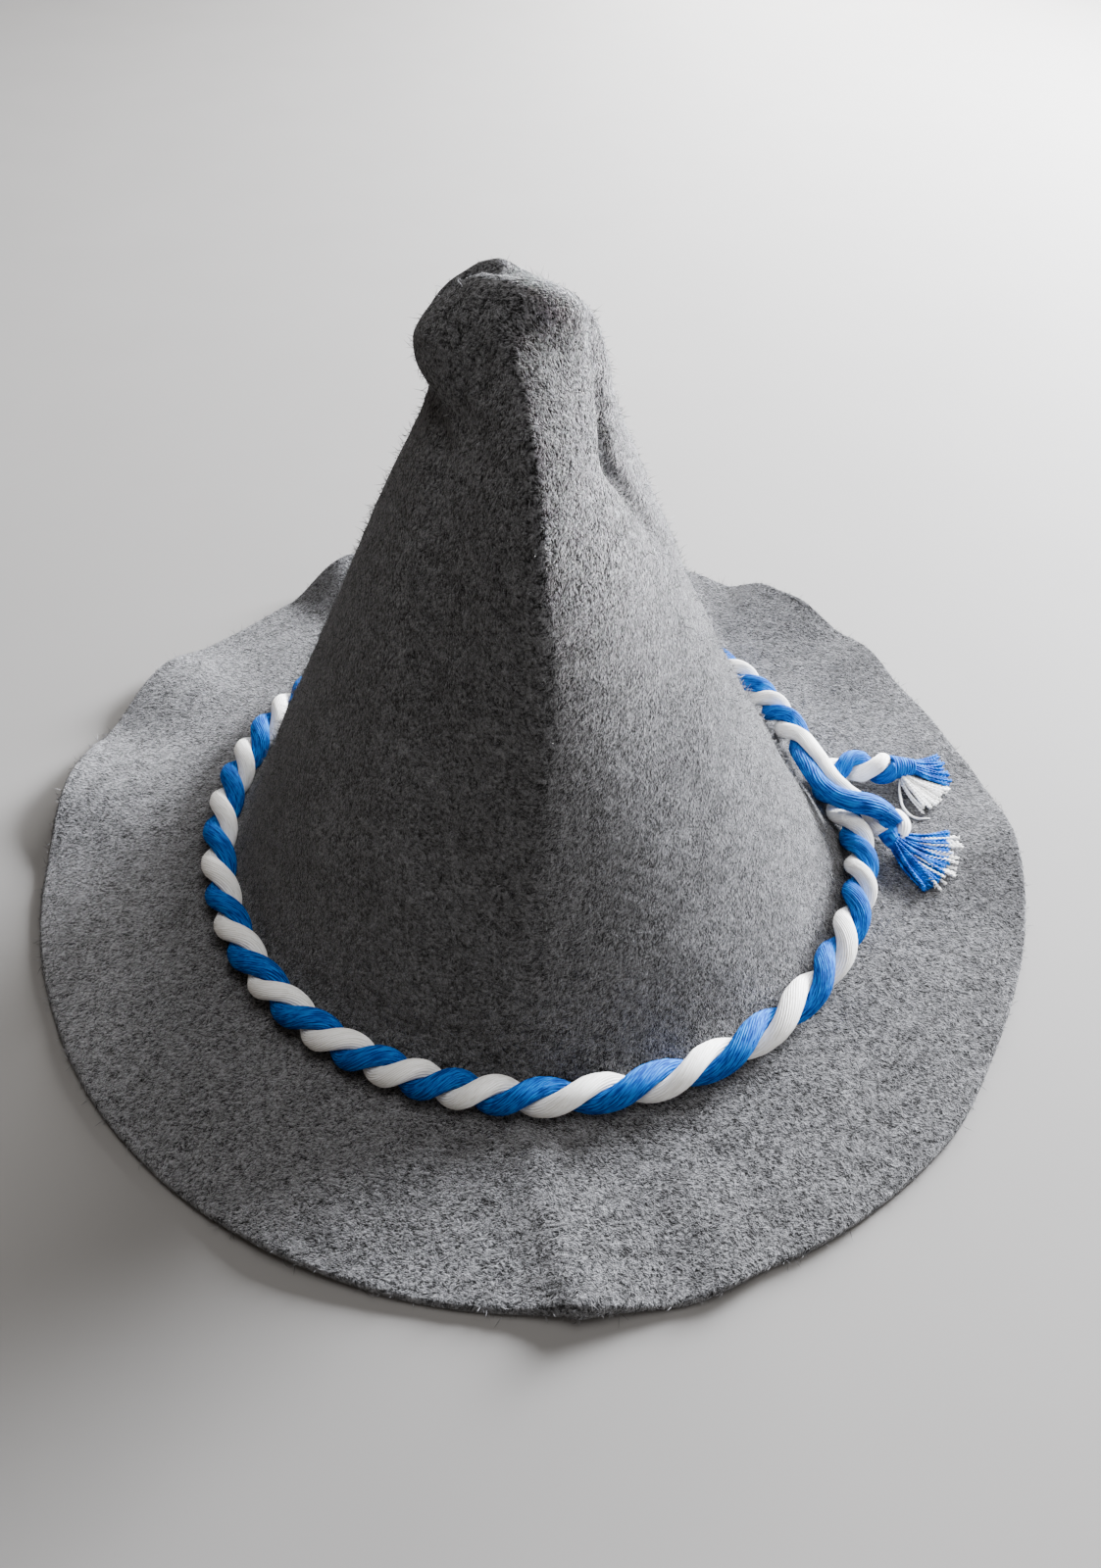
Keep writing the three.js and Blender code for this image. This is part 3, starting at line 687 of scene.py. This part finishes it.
ends = [(*(float(column(z)) for column in (CROWN.middle, CROWN.set)), top)
        for z, top in ((TIP_HEIGHT, TIP_HEIGHT - GROOVE.depth), (HOLLOW_HEIGHT, HOLLOW_HEIGHT))]
felt = ring_mesh("hat_felt", felt_points[None], np.array([ends]), make_felt())
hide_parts("felt_body")

# %% [markdown]
# ### Loose fibres
# Against the light, felt has a halo of single fibres. Each is a thin three-sided spindle that leaves
# the felt, bends over and ends in a point. Their roots are spread over the top side by area, with a
# fixed seed, so every run gives the same coat.

# %% Fibre material
# single wool fibres, each of its own shade from dark to pale
fibre_material = new_material("loose_wool_fibre")
shade = add_node(fibre_material, "Attribute", {}, attribute_name="shade")
colour = add_node(fibre_material, "Mix", {
    "Factor": shade.outputs["Fac"], 6: to_linear("#141415"), 7: to_linear("#909093")},
    data_type="RGBA")
wool = add_node(fibre_material, "BsdfPrincipled", {
    "Base Color": colour.outputs[2], "Roughness": 0.9, "Specular IOR Level": 0.2})
add_node(fibre_material, "OutputMaterial", {"Surface": wool.outputs[0]})
print("fibres have", fibre_material.name)

# %% Fibre coat
FIBRES = 31000  # on the crown, and as many on the brim
FIBRE_RADIUS = 0.08  # thicker than a real fibre, so that it shows
FIBRE_SIDES = 3
SHORTEST_FIBRE = 0.4
LONGEST_FIBRE = 2.5
LENGTH_SHAPE, LENGTH_SCALE = 4, 0.32  # of the gamma spread of the lengths above the shortest
ROOT_DEPTH = 0.25  # how far a fibre starts below the surface
FLATTEST, STEEPEST = 0.15, 0.9  # shares of the normal in a fibre's lean
ASIDE = 0.9  # share of a random direction in it
CURL = 0.7
LOWEST_FIBRE = 0.1  # fibres of the cut edge lie on the floor
BARE_ROWS = 2  # at the very tip
CROWN_BOTTOM = 5  # height where the brim's coat starts


def fibre_coat(name, rows, seed):
    """Fibres on a band of rows: root + length x (s x lean + s^2 x curl), rooted by area at random."""
    random = np.random.default_rng(seed)
    points, normals = felt_points[rows], felt_normals[rows]
    round_axis = np.roll(points, -1, 1) - points
    down_axis = np.gradient(points, axis=0)
    area = np.linalg.norm(np.cross(round_axis, down_axis), axis=-1).ravel()
    chosen = random.choice(area.size, FIBRES, p=area / area.sum())
    step = random.uniform(0, 1, (2, FIBRES, 1))
    point, normal, across, down = (array.reshape(-1, 3)[chosen]
                                   for array in (points, normals, round_axis, down_axis))
    root = point + step[0] * across + (step[1] - 0.5) * down - ROOT_DEPTH * normal
    length = random.gamma(LENGTH_SHAPE, LENGTH_SCALE, (FIBRES, 1)) + SHORTEST_FIBRE
    length = np.minimum(length, LONGEST_FIBRE)
    upright = normal * random.uniform(FLATTEST, STEEPEST, (FIBRES, 1))
    lean = unit(upright + ASIDE * unit(random.normal(size=(FIBRES, 3))))
    curl = CURL * unit(random.normal(size=(FIBRES, 3)))
    side = unit(np.cross(lean, random.normal(size=(FIBRES, 3))))
    section = circle(FIBRE_SIDES, side, np.cross(lean, side))
    middle = root + length * (0.5 * lean + 0.25 * curl)
    end = root + length * (lean + curl)
    for place in (root, middle, end):
        place[:, 2] = np.maximum(place[:, 2], LOWEST_FIBRE)
    rings = (middle[:, None] + FIBRE_RADIUS * section)[:, None]
    poles = np.stack([root, end], 1)
    shade = random.uniform(0, 1, FIBRES)
    piece = ring_mesh(name, rings, poles, fibre_material, values=shade)


crown_rows = int(np.searchsorted(-felt_points[:top_rows, 0, 2], -CROWN_BOTTOM))
fibre_coat("hat_fibres_crown", slice(BARE_ROWS, crown_rows), 11)
fibre_coat("hat_fibres_brim", slice(crown_rows, top_rows), 12)

# %% [markdown]
# ## The cord
# Two bundles of yarn, one blue and one white, were twisted round each other into a soft cord about
# 11 mm thick. It lies round the foot of the crown, and its two ends cross in a tie at the right. The
# route is a table by lengths of one twist, so the blue and white show where they do on the real cord,
# and the run that crosses over the tie has come untwisted.

# %% Cord route
GAP = 0.3
STRAND_OFFSET = 3
STRAND_DEPTH = 2.6
CORD_RADIUS = STRAND_OFFSET + STRAND_DEPTH
LYING = FELT + GAP + CORD_RADIUS
PRESSED = 0.72  # the two runs are flatter where they cross
UNDER = FELT + GAP + CORD_RADIUS * PRESSED
OVER = UNDER + 2 * CORD_RADIUS * PRESSED + GAP
# place in twists, azimuth, distance out from the crown's foot, height, and how far it is pressed flat
ROUTE_ROWS = [
    (-2.8, 12.2, 23.4, LYING, 1), (-2.6, 12.2, 20, LYING, 1), (-2.3, 12.9, 15.6, LYING, 1),
    (-2, 14.2, 10.4, LYING, 0.92), (-1.75, 13.6, 4.2, UNDER + 0.8, 0.8),
    (-1.5, 11, -1.4, UNDER + 1, PRESSED), (-1, 5.4, -2.2, UNDER + 1.2, PRESSED),
    (-0.5, -1.6, -1.6, LYING + 0.5, 0.88), (0, -8, -0.2, LYING + 0.2, 1),
    (1, -20, 0.3, LYING + 0.1, 1), (2, -36, 0.3, LYING + 0.1, 1), (4, -74, 0.3, LYING + 0.1, 1),
    (5, -90, 0.3, LYING + 0.1, 1), (8, -127, 0.3, LYING + 0.1, 1), (13, -199, 0.3, LYING + 0.1, 1),
    (22, -320, 0.6, LYING + 0.1, 1), (23, -331.2, 0.6, LYING + 0.8, 1),
    (23.5, -339.6, -1.4, LYING + 3.2, 0.9), (23.9, -347.4, -4.8, OVER + 0.1, 0.8),
    (24.25, -353.6, -6.4, OVER + 1.4, PRESSED), (24.5, -357.6, -4, OVER + 1.5, PRESSED),
    (24.75, -359.1, 1.9, OVER + 0.5, 0.8), (25, -359.6, 7.2, LYING + 3.4, 0.95),
    (25.2, -361.8, 10, LYING + 0.8, 1),
]
ROUTE = columns_of("at azimuth out height squash", ROUTE_ROWS)
ROUTE_START, ROUTE_END = ROUTE_ROWS[0][0], ROUTE_ROWS[-1][0]
ROUTE_STEP = 0.02  # twists to either side, for its direction


def cord_axis(at):
    """Axis of the cord: at the route's azimuth, the foot's radius plus its distance out."""
    azimuth = ROUTE.azimuth(at)
    return polar(azimuth, foot_radius(azimuth) + ROUTE.out(at), ROUTE.height(at))


def cord_frame(at):
    """Axis point with the level and upright directions across the cord."""
    along = unit(cord_axis(at + ROUTE_STEP) - cord_axis(at - ROUTE_STEP))
    return cord_axis(at), *across_of(along)


axis_points = cord_axis(np.linspace(ROUTE_START, ROUTE_END, 800))
cord_length = np.linalg.norm(np.diff(axis_points, axis=0), axis=1).sum()
print("cord is", round(cord_length), "mm long, in", round(ROUTE_END - ROUTE_START, 1), "twists")

# %% [markdown]
# ### Acrylic yarn
# Craft yarn is spun from bright acrylic fibre. Pale streaks along the yarns are a painted highlight,
# where bundles of fibre would catch the light, and a darker painted shade lies in the grooves between
# them. The white one is so bright that its streaks hardly show.

# %% Yarn material
YARN_FIBRE = 0.5  # millimetres across a bundle of fibres, drawn coarser than one fibre
STREAK = 0.14  # scale along the yarn, so a streak is seven times longer than wide
YARN_NAP = 0.2  # millimetres


def make_yarn(name, painted_groove_shade, main, painted_highlight, sheen, depth):
    """Noise drawn out along the yarns mixes main with a painted highlight; where lowest, painted
    groove shade shows.
    """
    material = new_material(name)
    surface = add_node(material, "UVMap", {}, uv_map="surface").outputs[0]
    along = add_node(material, "Mapping", {"Vector": surface, "Scale": (STREAK, 1, 1)})
    fibres = add_node(material, "TexNoise", {
        "Vector": along.outputs[0], "Scale": per_metre(YARN_FIBRE), "Detail": 2,
        "Distortion": 0.6}).outputs["Fac"]
    # painted highlight: the paler colour where the noise is high stands in for light caught by the
    # fibre bundles
    painted_highlight_share = add_node(material, "MapRange", {"Value": fibres, "From Min": 0.46, "From Max": 0.62})
    # painted shade: the darker colour where the noise is low stands in for shade in the grooves;
    # depth sets it and the bump
    groove = add_node(material, "MapRange", {
        "Value": fibres, "From Min": 0.36, "From Max": 0.5, "To Min": depth, "To Max": 0})
    # tone is main with the painted highlight, and colour is that with the painted groove shade over
    # it
    tone = add_node(material, "Mix", {
        "Factor": painted_highlight_share.outputs[0], 6: to_linear(main), 7: to_linear(painted_highlight)}, data_type="RGBA")
    colour = add_node(material, "Mix", {
        "Factor": groove.outputs[0], 6: tone.outputs[2], 7: to_linear(painted_groove_shade)}, data_type="RGBA")
    bump = add_node(material, "Bump", {
        "Height": fibres, "Distance": YARN_NAP * MM, "Strength": depth})
    yarn = add_node(material, "BsdfPrincipled", {
        "Base Color": colour.outputs[2], "Roughness": 0.75, "Specular IOR Level": 0.08,
        "Sheen Weight": 0.1, "Sheen Roughness": 0.5, "Sheen Tint": to_linear(sheen),
        "Normal": bump.outputs[0]})
    add_node(material, "OutputMaterial", {"Surface": yarn.outputs[0]})
    return material


# colours: painted groove shade, main, painted highlight and sheen tint, then the depth of the painted
# shade and bump
YARN_MATERIALS = {
    "blue_yarn": make_yarn(
        "blue_acrylic_yarn", "#001f5c", "#0046a0", "#0070c4", "#0098f0", 0.75),
    "white_yarn": make_yarn(
        "white_acrylic_yarn", "#cfcbc4", "#f6f5f2", "#fefdfc", "#ffffff", 0.45),
}
print(*(material.name for material in YARN_MATERIALS.values()))

# %% [markdown]
# ### Strands
# Each strand is a bundle of fine yarns with only a slight twist of their own. The two strands press
# each other flat where they meet, so a strand's section is a D with a round back. It winds round the
# cord's axis, and the columns of the grid follow the yarns, so each one is a clean ridge. Hand-laid
# cord is uneven, so its lay and the share of each colour vary, and where it crosses over the tie the
# white is narrow.

# %% Strand section
BORDER = 87  # degrees round the cord from a strand's middle to its border
BORDER_DIP = 3.4  # how far the border lies under the cord's round outline
DIP_POWER = 2.5
BACK_SHARE = 0.64  # part of the outline that is the round back
FLAT_HOLLOW = 0.1  # how far the flat side is hollow


def strand_section(share, border):
    """D-shaped outline by share of the way round: out from the cord's axis, and across.

    On the back the radius is the cord's less dip x |angle/border|^2.5, and the flat side joins the
    two borders.
    """
    angle = border * (2 * share / BACK_SHARE - 1)
    radius = CORD_RADIUS - BORDER_DIP * np.abs(np.clip(angle / border, -1, 1)) ** DIP_POWER
    flat = np.clip((share - BACK_SHARE) / (1 - BACK_SHARE), 0, 1)
    border_radius = CORD_RADIUS - BORDER_DIP
    flat_out = border_radius * np.cos(border) - FLAT_HOLLOW * np.sin(np.pi * flat)
    flat_across = border_radius * np.sin(border) * (1 - 2 * flat)
    on_back = share < BACK_SHARE
    out = np.where(on_back, radius * np.cos(angle), flat_out)
    return out, np.where(on_back, radius * np.sin(angle), flat_across)


print("a strand's back spans", 2 * BORDER, "degrees")

# %% Strand surface
YARNS = 30
POINTS_PER_YARN = 4
STEPS_PER_TWIST = 22
CORD_SHARE = 0.94  # the soft cord is a little thinner than the solid round it
YARN_GROOVE = 0.12  # depth of the grooves, as a share
YARN_ROUNDNESS = 0.7
YARN_VARIATION = 0.012
THINNEST, THICKEST = -2, 1.5  # limits of that variation
COUNTER_TWIST = 0.3  # turns of the yarns for each twist of the cord
BLUE_WIDER = 3  # degrees by which the blue is wider, and the white narrower
# waves along the cord: cycles for each twist, degrees and phase
UNEVEN_LAY = [(0.31, 6, 0.4), (0.47, 4, 2.1)]
UNEVEN_WIDTH = [(0.23, 5, 1.7), (0.39, 4, 5.2)]
# place in twists, and degrees by which the blue is wider still where the run crosses over
CROSSING_WIDTH = columns_of("at more", [(23.1, 0), (23.6, 24), (24.6, 24), (25.1, 0)])
# place in twists, and turns of the twist that are missing so far
UNTWIST = columns_of("at missing", [(23.5, 0), (24, 0.34), (24.4, 0.66), (25, 1)])
BLUE_PHASE = 90


def waves_along(at, waves):
    """Sum of sine waves along the cord, in radians."""
    return np.radians(sum(size * np.sin(2 * np.pi * cycles * at + phase)
                          for cycles, size, phase in waves))


def strand(name, slot, node, phase, wider, seed):
    """The D winds round the axis; a column's share of the outline = column - counter twist x twists.

    A yarn's ridge scales the D about the strand's middle by its size less groove x (1 - |sin|^0.7).
    """
    columns = YARNS * POINTS_PER_YARN
    rows = int((ROUTE_END - ROUTE_START) * STEPS_PER_TWIST)
    at = np.linspace(ROUTE_START, ROUTE_END, rows)[:, None]
    column = np.arange(columns)[None, :] / columns
    more = np.radians(BLUE_WIDER + CROSSING_WIDTH.more(at)) + waves_along(at, UNEVEN_WIDTH)
    border = np.radians(BORDER) + wider * more
    out, across = strand_section((column - COUNTER_TWIST * at) % 1, border)
    variation = np.random.default_rng(seed).normal(size=YARNS).clip(THINNEST, THICKEST)
    yarn_size = np.repeat(1 + YARN_VARIATION * variation, POINTS_PER_YARN)
    groove = 1 - np.abs(np.sin(np.pi * column * YARNS)) ** YARN_ROUNDNESS
    ridge = yarn_size - YARN_GROOVE * groove
    out = CORD_SHARE * (STRAND_OFFSET + (out - STRAND_OFFSET) * ridge)
    across = CORD_SHARE * across * ridge
    wind = np.radians(phase) + 2 * np.pi * (at - UNTWIST.missing(at)) + waves_along(at, UNEVEN_LAY)
    centre, level, upright = cord_frame(at[:, 0])
    sideways = (out * np.cos(wind) - across * np.sin(wind))[..., None]
    upwards = ((out * np.sin(wind) + across * np.cos(wind)) * ROUTE.squash(at))[..., None]
    rings = centre[:, None] + sideways * level[:, None] + upwards * upright[:, None]
    poles = rings[[0, -1]].mean(1)
    steps = np.linalg.norm(np.diff(rings[:, 0], axis=0), axis=1)
    yarn_length = np.concatenate([[0], steps.cumsum()])
    uv = (yarn_length * MM, np.arange(columns + 1) / POINTS_PER_YARN * MM)
    piece = ring_mesh(name, rings[None], poles[None], YARN_MATERIALS[slot], uv=uv)
    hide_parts(node)


strand("cord_blue_strand", "blue_yarn", "band_blue_strand", BLUE_PHASE, 1, 31)
strand("cord_white_strand", "white_yarn", "band_white_strand", BLUE_PHASE + 180, -1, 32)

# %% [markdown]
# ## Tassels
# Both cord ends are bound and cut, and the yarns fan out over the brim. Every yarn end is two thin
# plies twisted round each other, which come a little apart where they were cut.

# %% Plies
PLY_RADIUS = 0.27
PLY_OFFSET = 0.22
PLY_PITCH = 2.6
PLY_SIDES = 6
FRAYED = 1.6  # times further apart at the cut
FRAY_POWER = 6
END_STEP = 0.6  # millimetres from ring to ring


def plied(lines):
    """Two plies round each centre line: offset x (cos, sin) of distance/pitch, half a turn apart."""
    level, upright = across_of(unit(np.gradient(lines, axis=1)))
    gone = np.linalg.norm(np.diff(lines, axis=1, prepend=lines[:, :1]), axis=-1).cumsum(1)
    turn = 2 * np.pi * gone / PLY_PITCH + np.arange(len(lines))[:, None]
    turn = np.concatenate([turn, turn + np.pi])[..., None]
    lines, level, upright = (np.concatenate([array, array]) for array in (lines, level, upright))
    apart = 1 + (FRAYED - 1) * np.linspace(0, 1, lines.shape[1]) ** FRAY_POWER
    offset = PLY_OFFSET * apart[None, :, None]
    centre = lines + offset * (np.cos(turn) * level + np.sin(turn) * upright)
    return centre[:, :, None] + PLY_RADIUS * circle(PLY_SIDES, level, upright)


def yarn_piece(name, slot, rings):
    """Mesh of yarn tubes, with its coordinates along and round each tube."""
    poles = rings[:, [0, -1]].mean(2)
    rows, columns = rings.shape[1:3]
    uv = (np.arange(rows) * END_STEP * MM, np.arange(columns + 1) / columns * MM)
    piece = ring_mesh(name, rings, poles, YARN_MATERIALS[slot], uv=uv)
    return piece


print("a yarn end is", 2 * (PLY_RADIUS + PLY_OFFSET), "mm thick")

# %% Yarn ends
# name, slot, node, root x y z, half size of the root, heading, spread, yarns, length, seed
TASSELS = [
    ("tassel_upper_blue", "blue_yarn", "upper_tassel_blue",
     (123.6, 26.9, 7.2), 2.3, 7, 46, 44, 14, 21),
    ("tassel_upper_white", "white_yarn", "upper_tassel_white",
     (121.8, 23.6, 5.4), 2.0, -41, 56, 26, 14.4, 22),
    ("tassel_lower_blue", "blue_yarn", "lower_tassel_blue",
     (112.8, -7.2, 7.4), 2.8, -27, 74, 120, 16.8, 23),
    ("tassel_lower_white", "white_yarn", "lower_tassel_white",
     (113.4, -6.8, 6.4), 1.8, -22, 66, 24, 19.5, 24),
]
HEADING_SPREAD = 2.5  # degrees by which a yarn strays
LAYER = 0.8  # half the range of the yarns' layers
LAYER_HEIGHT = 1.3
SHORT_CUT, LONG_CUT = 0.88, 1.06  # shares of the length
ROOT_SPREAD = 1.6  # times the half size of the root
BEND_TURNS = 1.3  # half waves along a yarn
BEND_SIZE = 0.05  # of its length


def brim_height(points):
    """Height of the top of the brim under points."""
    return FELT + brim_lift(*azimuth_radius(points))


def yarn_ends(root, size, heading, spread, count, length, seed):
    """Centre lines of a fan of yarns: root to tip, the height easing down to the brim as a sine."""
    random = np.random.default_rng(seed)
    share = random.permutation(np.linspace(-0.5, 0.5, count))
    angle = np.radians(heading + spread * share + random.normal(0, HEADING_SPREAD, count))
    layer = random.uniform(-LAYER, LAYER, count)[:, None]
    reach = length * random.uniform(SHORT_CUT, LONG_CUT, count)
    s = np.linspace(0, 1, int(length / END_STEP))[None, :]
    ahead = np.stack([np.cos(angle), np.sin(angle)], -1)[:, None]
    axis = np.radians(heading)
    aside = (share * ROOT_SPREAD * size)[:, None] * np.array([-np.sin(axis), np.cos(axis)])
    start = np.array(root[:2]) + aside
    bend = random.uniform(-1, 1, (count, 1)) * np.sin(s * np.pi * BEND_TURNS) * BEND_SIZE * length
    straight = start[:, None] + ahead * (reach[:, None] * s)[..., None]
    flat = straight + bend[..., None] * ahead[..., ::-1] * [-1, 1]
    line = np.concatenate([flat, np.zeros_like(flat[..., :1])], -1)
    rest = brim_height(line) + GAP + PLY_RADIUS + PLY_OFFSET + (layer + LAYER) * LAYER_HEIGHT
    ease = np.sin(s * np.pi / 2)
    line[..., 2] = (root[2] + layer * size) * (1 - ease) + rest * ease
    return line


for name, slot, node, *fan in TASSELS:
    piece = yarn_piece(name, slot, plied(yarn_ends(*fan)))
    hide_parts(node)

# %% [markdown]
# ### Knots, a whipping and a stray thread
# The upper end is bound by blue yarn wound round it, which is a tight coil on a cone. At the lower
# end the blue and the white strand are tied over each other in a small knot: each is a thick bundle
# along a short bent line. One white yarn came loose and curls over the brim.

# %% Bundles
# name, slot, and rows of x, y, z and half thickness along each bundle
BUNDLES = [
    ("knot_lower_blue", "blue_yarn", [
        (106.6, 4.4, 11.2, 2.6), (109.6, 1.4, 10.8, 3), (110.4, -3.4, 9, 3.2),
        (112.6, -7.4, 7, 2.5), (114.4, -9.2, 6.4, 2.2)]),
    ("knot_lower_white", "white_yarn", [
        (111.6, 2.8, 8.4, 2), (114.2, 2, 9.4, 2.7), (115.6, -1.6, 9, 2.8),
        (114.6, -5.2, 7.8, 2.2), (113, -7.2, 7, 1.6)]),
]
SCALLOP = 0.05  # depth of the grooves, as a share
LAY = 0.35  # radians of twist for each row
END_MARGIN = 0.02  # share left off at each end, where the thickness is 0


def tube(rows, steps, sides, yarns):
    """Tube through rows of place and half thickness, its section scalloped for each yarn.

    The half thickness is multiplied by the fourth root of sin(pi x share of the length).
    """
    table = np.array(rows, float)
    knots = np.arange(len(table), dtype=float)
    at = np.linspace(0, len(table) - 1, steps)
    line = np.stack([smooth_through(knots, table[:, k])(at) for k in range(4)], -1)
    level, upright = across_of(unit(np.gradient(line[:, :3], axis=0)))
    round_angle = np.arange(sides) * 2 * np.pi / sides
    lay = (round_angle[None, :] + LAY * at[:, None])[..., None]
    share = np.linspace(END_MARGIN, 1 - END_MARGIN, steps)
    radius = line[:, 3:] * np.sqrt(np.sin(share * np.pi))[:, None] ** 0.5
    radius = radius * (1 - SCALLOP * (1 - np.abs(np.sin(round_angle * yarns / 2)))[None, :])
    section = np.cos(lay) * level[:, None] + np.sin(lay) * upright[:, None]
    return line[:, None, :3] + radius[..., None] * section


for name, slot, rows in BUNDLES:
    yarn_piece(name, slot, tube(rows, steps=48, sides=96, yarns=16)[None])

# %% Whipping and stray thread
WHIPPING = SimpleNamespace(start=np.array((117.2, 25.6, 8)), start_radius=4.3,
                           end=np.array((125.2, 27, 7.4)), end_radius=2.7, turns=8.5, yarn=0.52)
STEPS_PER_TURN = 28
WHIPPING_SIDES = 8
CORE_INSET = 0.9  # of the filled core inside the coil
CORE_SHARES = (0.02, 0.5, 1)
STRAY_THREAD = [
    (120.6, 23, 5, 0.45), (119.8, 18, 4.4, 0.45), (119.6, 13, 3.9, 0.45), (121.2, 8.4, 3.7, 0.45),
    (124, 6.6, 3.7, 0.45), (127.6, 6.8, 3.8, 0.4),
]


def whipping():
    """One yarn wound on a cone: centre line = cone's axis + radius x (cos, sin) of the turns."""
    start, end, yarn = WHIPPING.start, WHIPPING.end, WHIPPING.yarn
    along = unit(end - start)
    level, upright = across_of(along)
    s = np.linspace(0, 1, int(WHIPPING.turns * STEPS_PER_TURN))[:, None]
    turn = 2 * np.pi * WHIPPING.turns * s
    outward = np.cos(turn) * level + np.sin(turn) * upright
    radius = WHIPPING.start_radius * (1 - s) + WHIPPING.end_radius * s - yarn
    line = start + s * (end - start) + radius * outward
    return line[:, None] + yarn * circle(WHIPPING_SIDES, outward, along)


def core_row(u):
    """Place and half thickness of the core a share of the way along the cone."""
    place = WHIPPING.start * (1 - u) + WHIPPING.end * u
    return (*place, WHIPPING.start_radius * (1 - u) + WHIPPING.end_radius * u - CORE_INSET)


yarn_piece("whipping_upper_blue", "blue_yarn", whipping()[None])
core = tube([core_row(u) for u in CORE_SHARES], steps=16, sides=32, yarns=1)
yarn_piece("whipping_upper_core", "blue_yarn", core[None])
stray = tube(STRAY_THREAD, steps=60, sides=8, yarns=1)
yarn_piece("stray_white_thread", "white_yarn", stray[None])
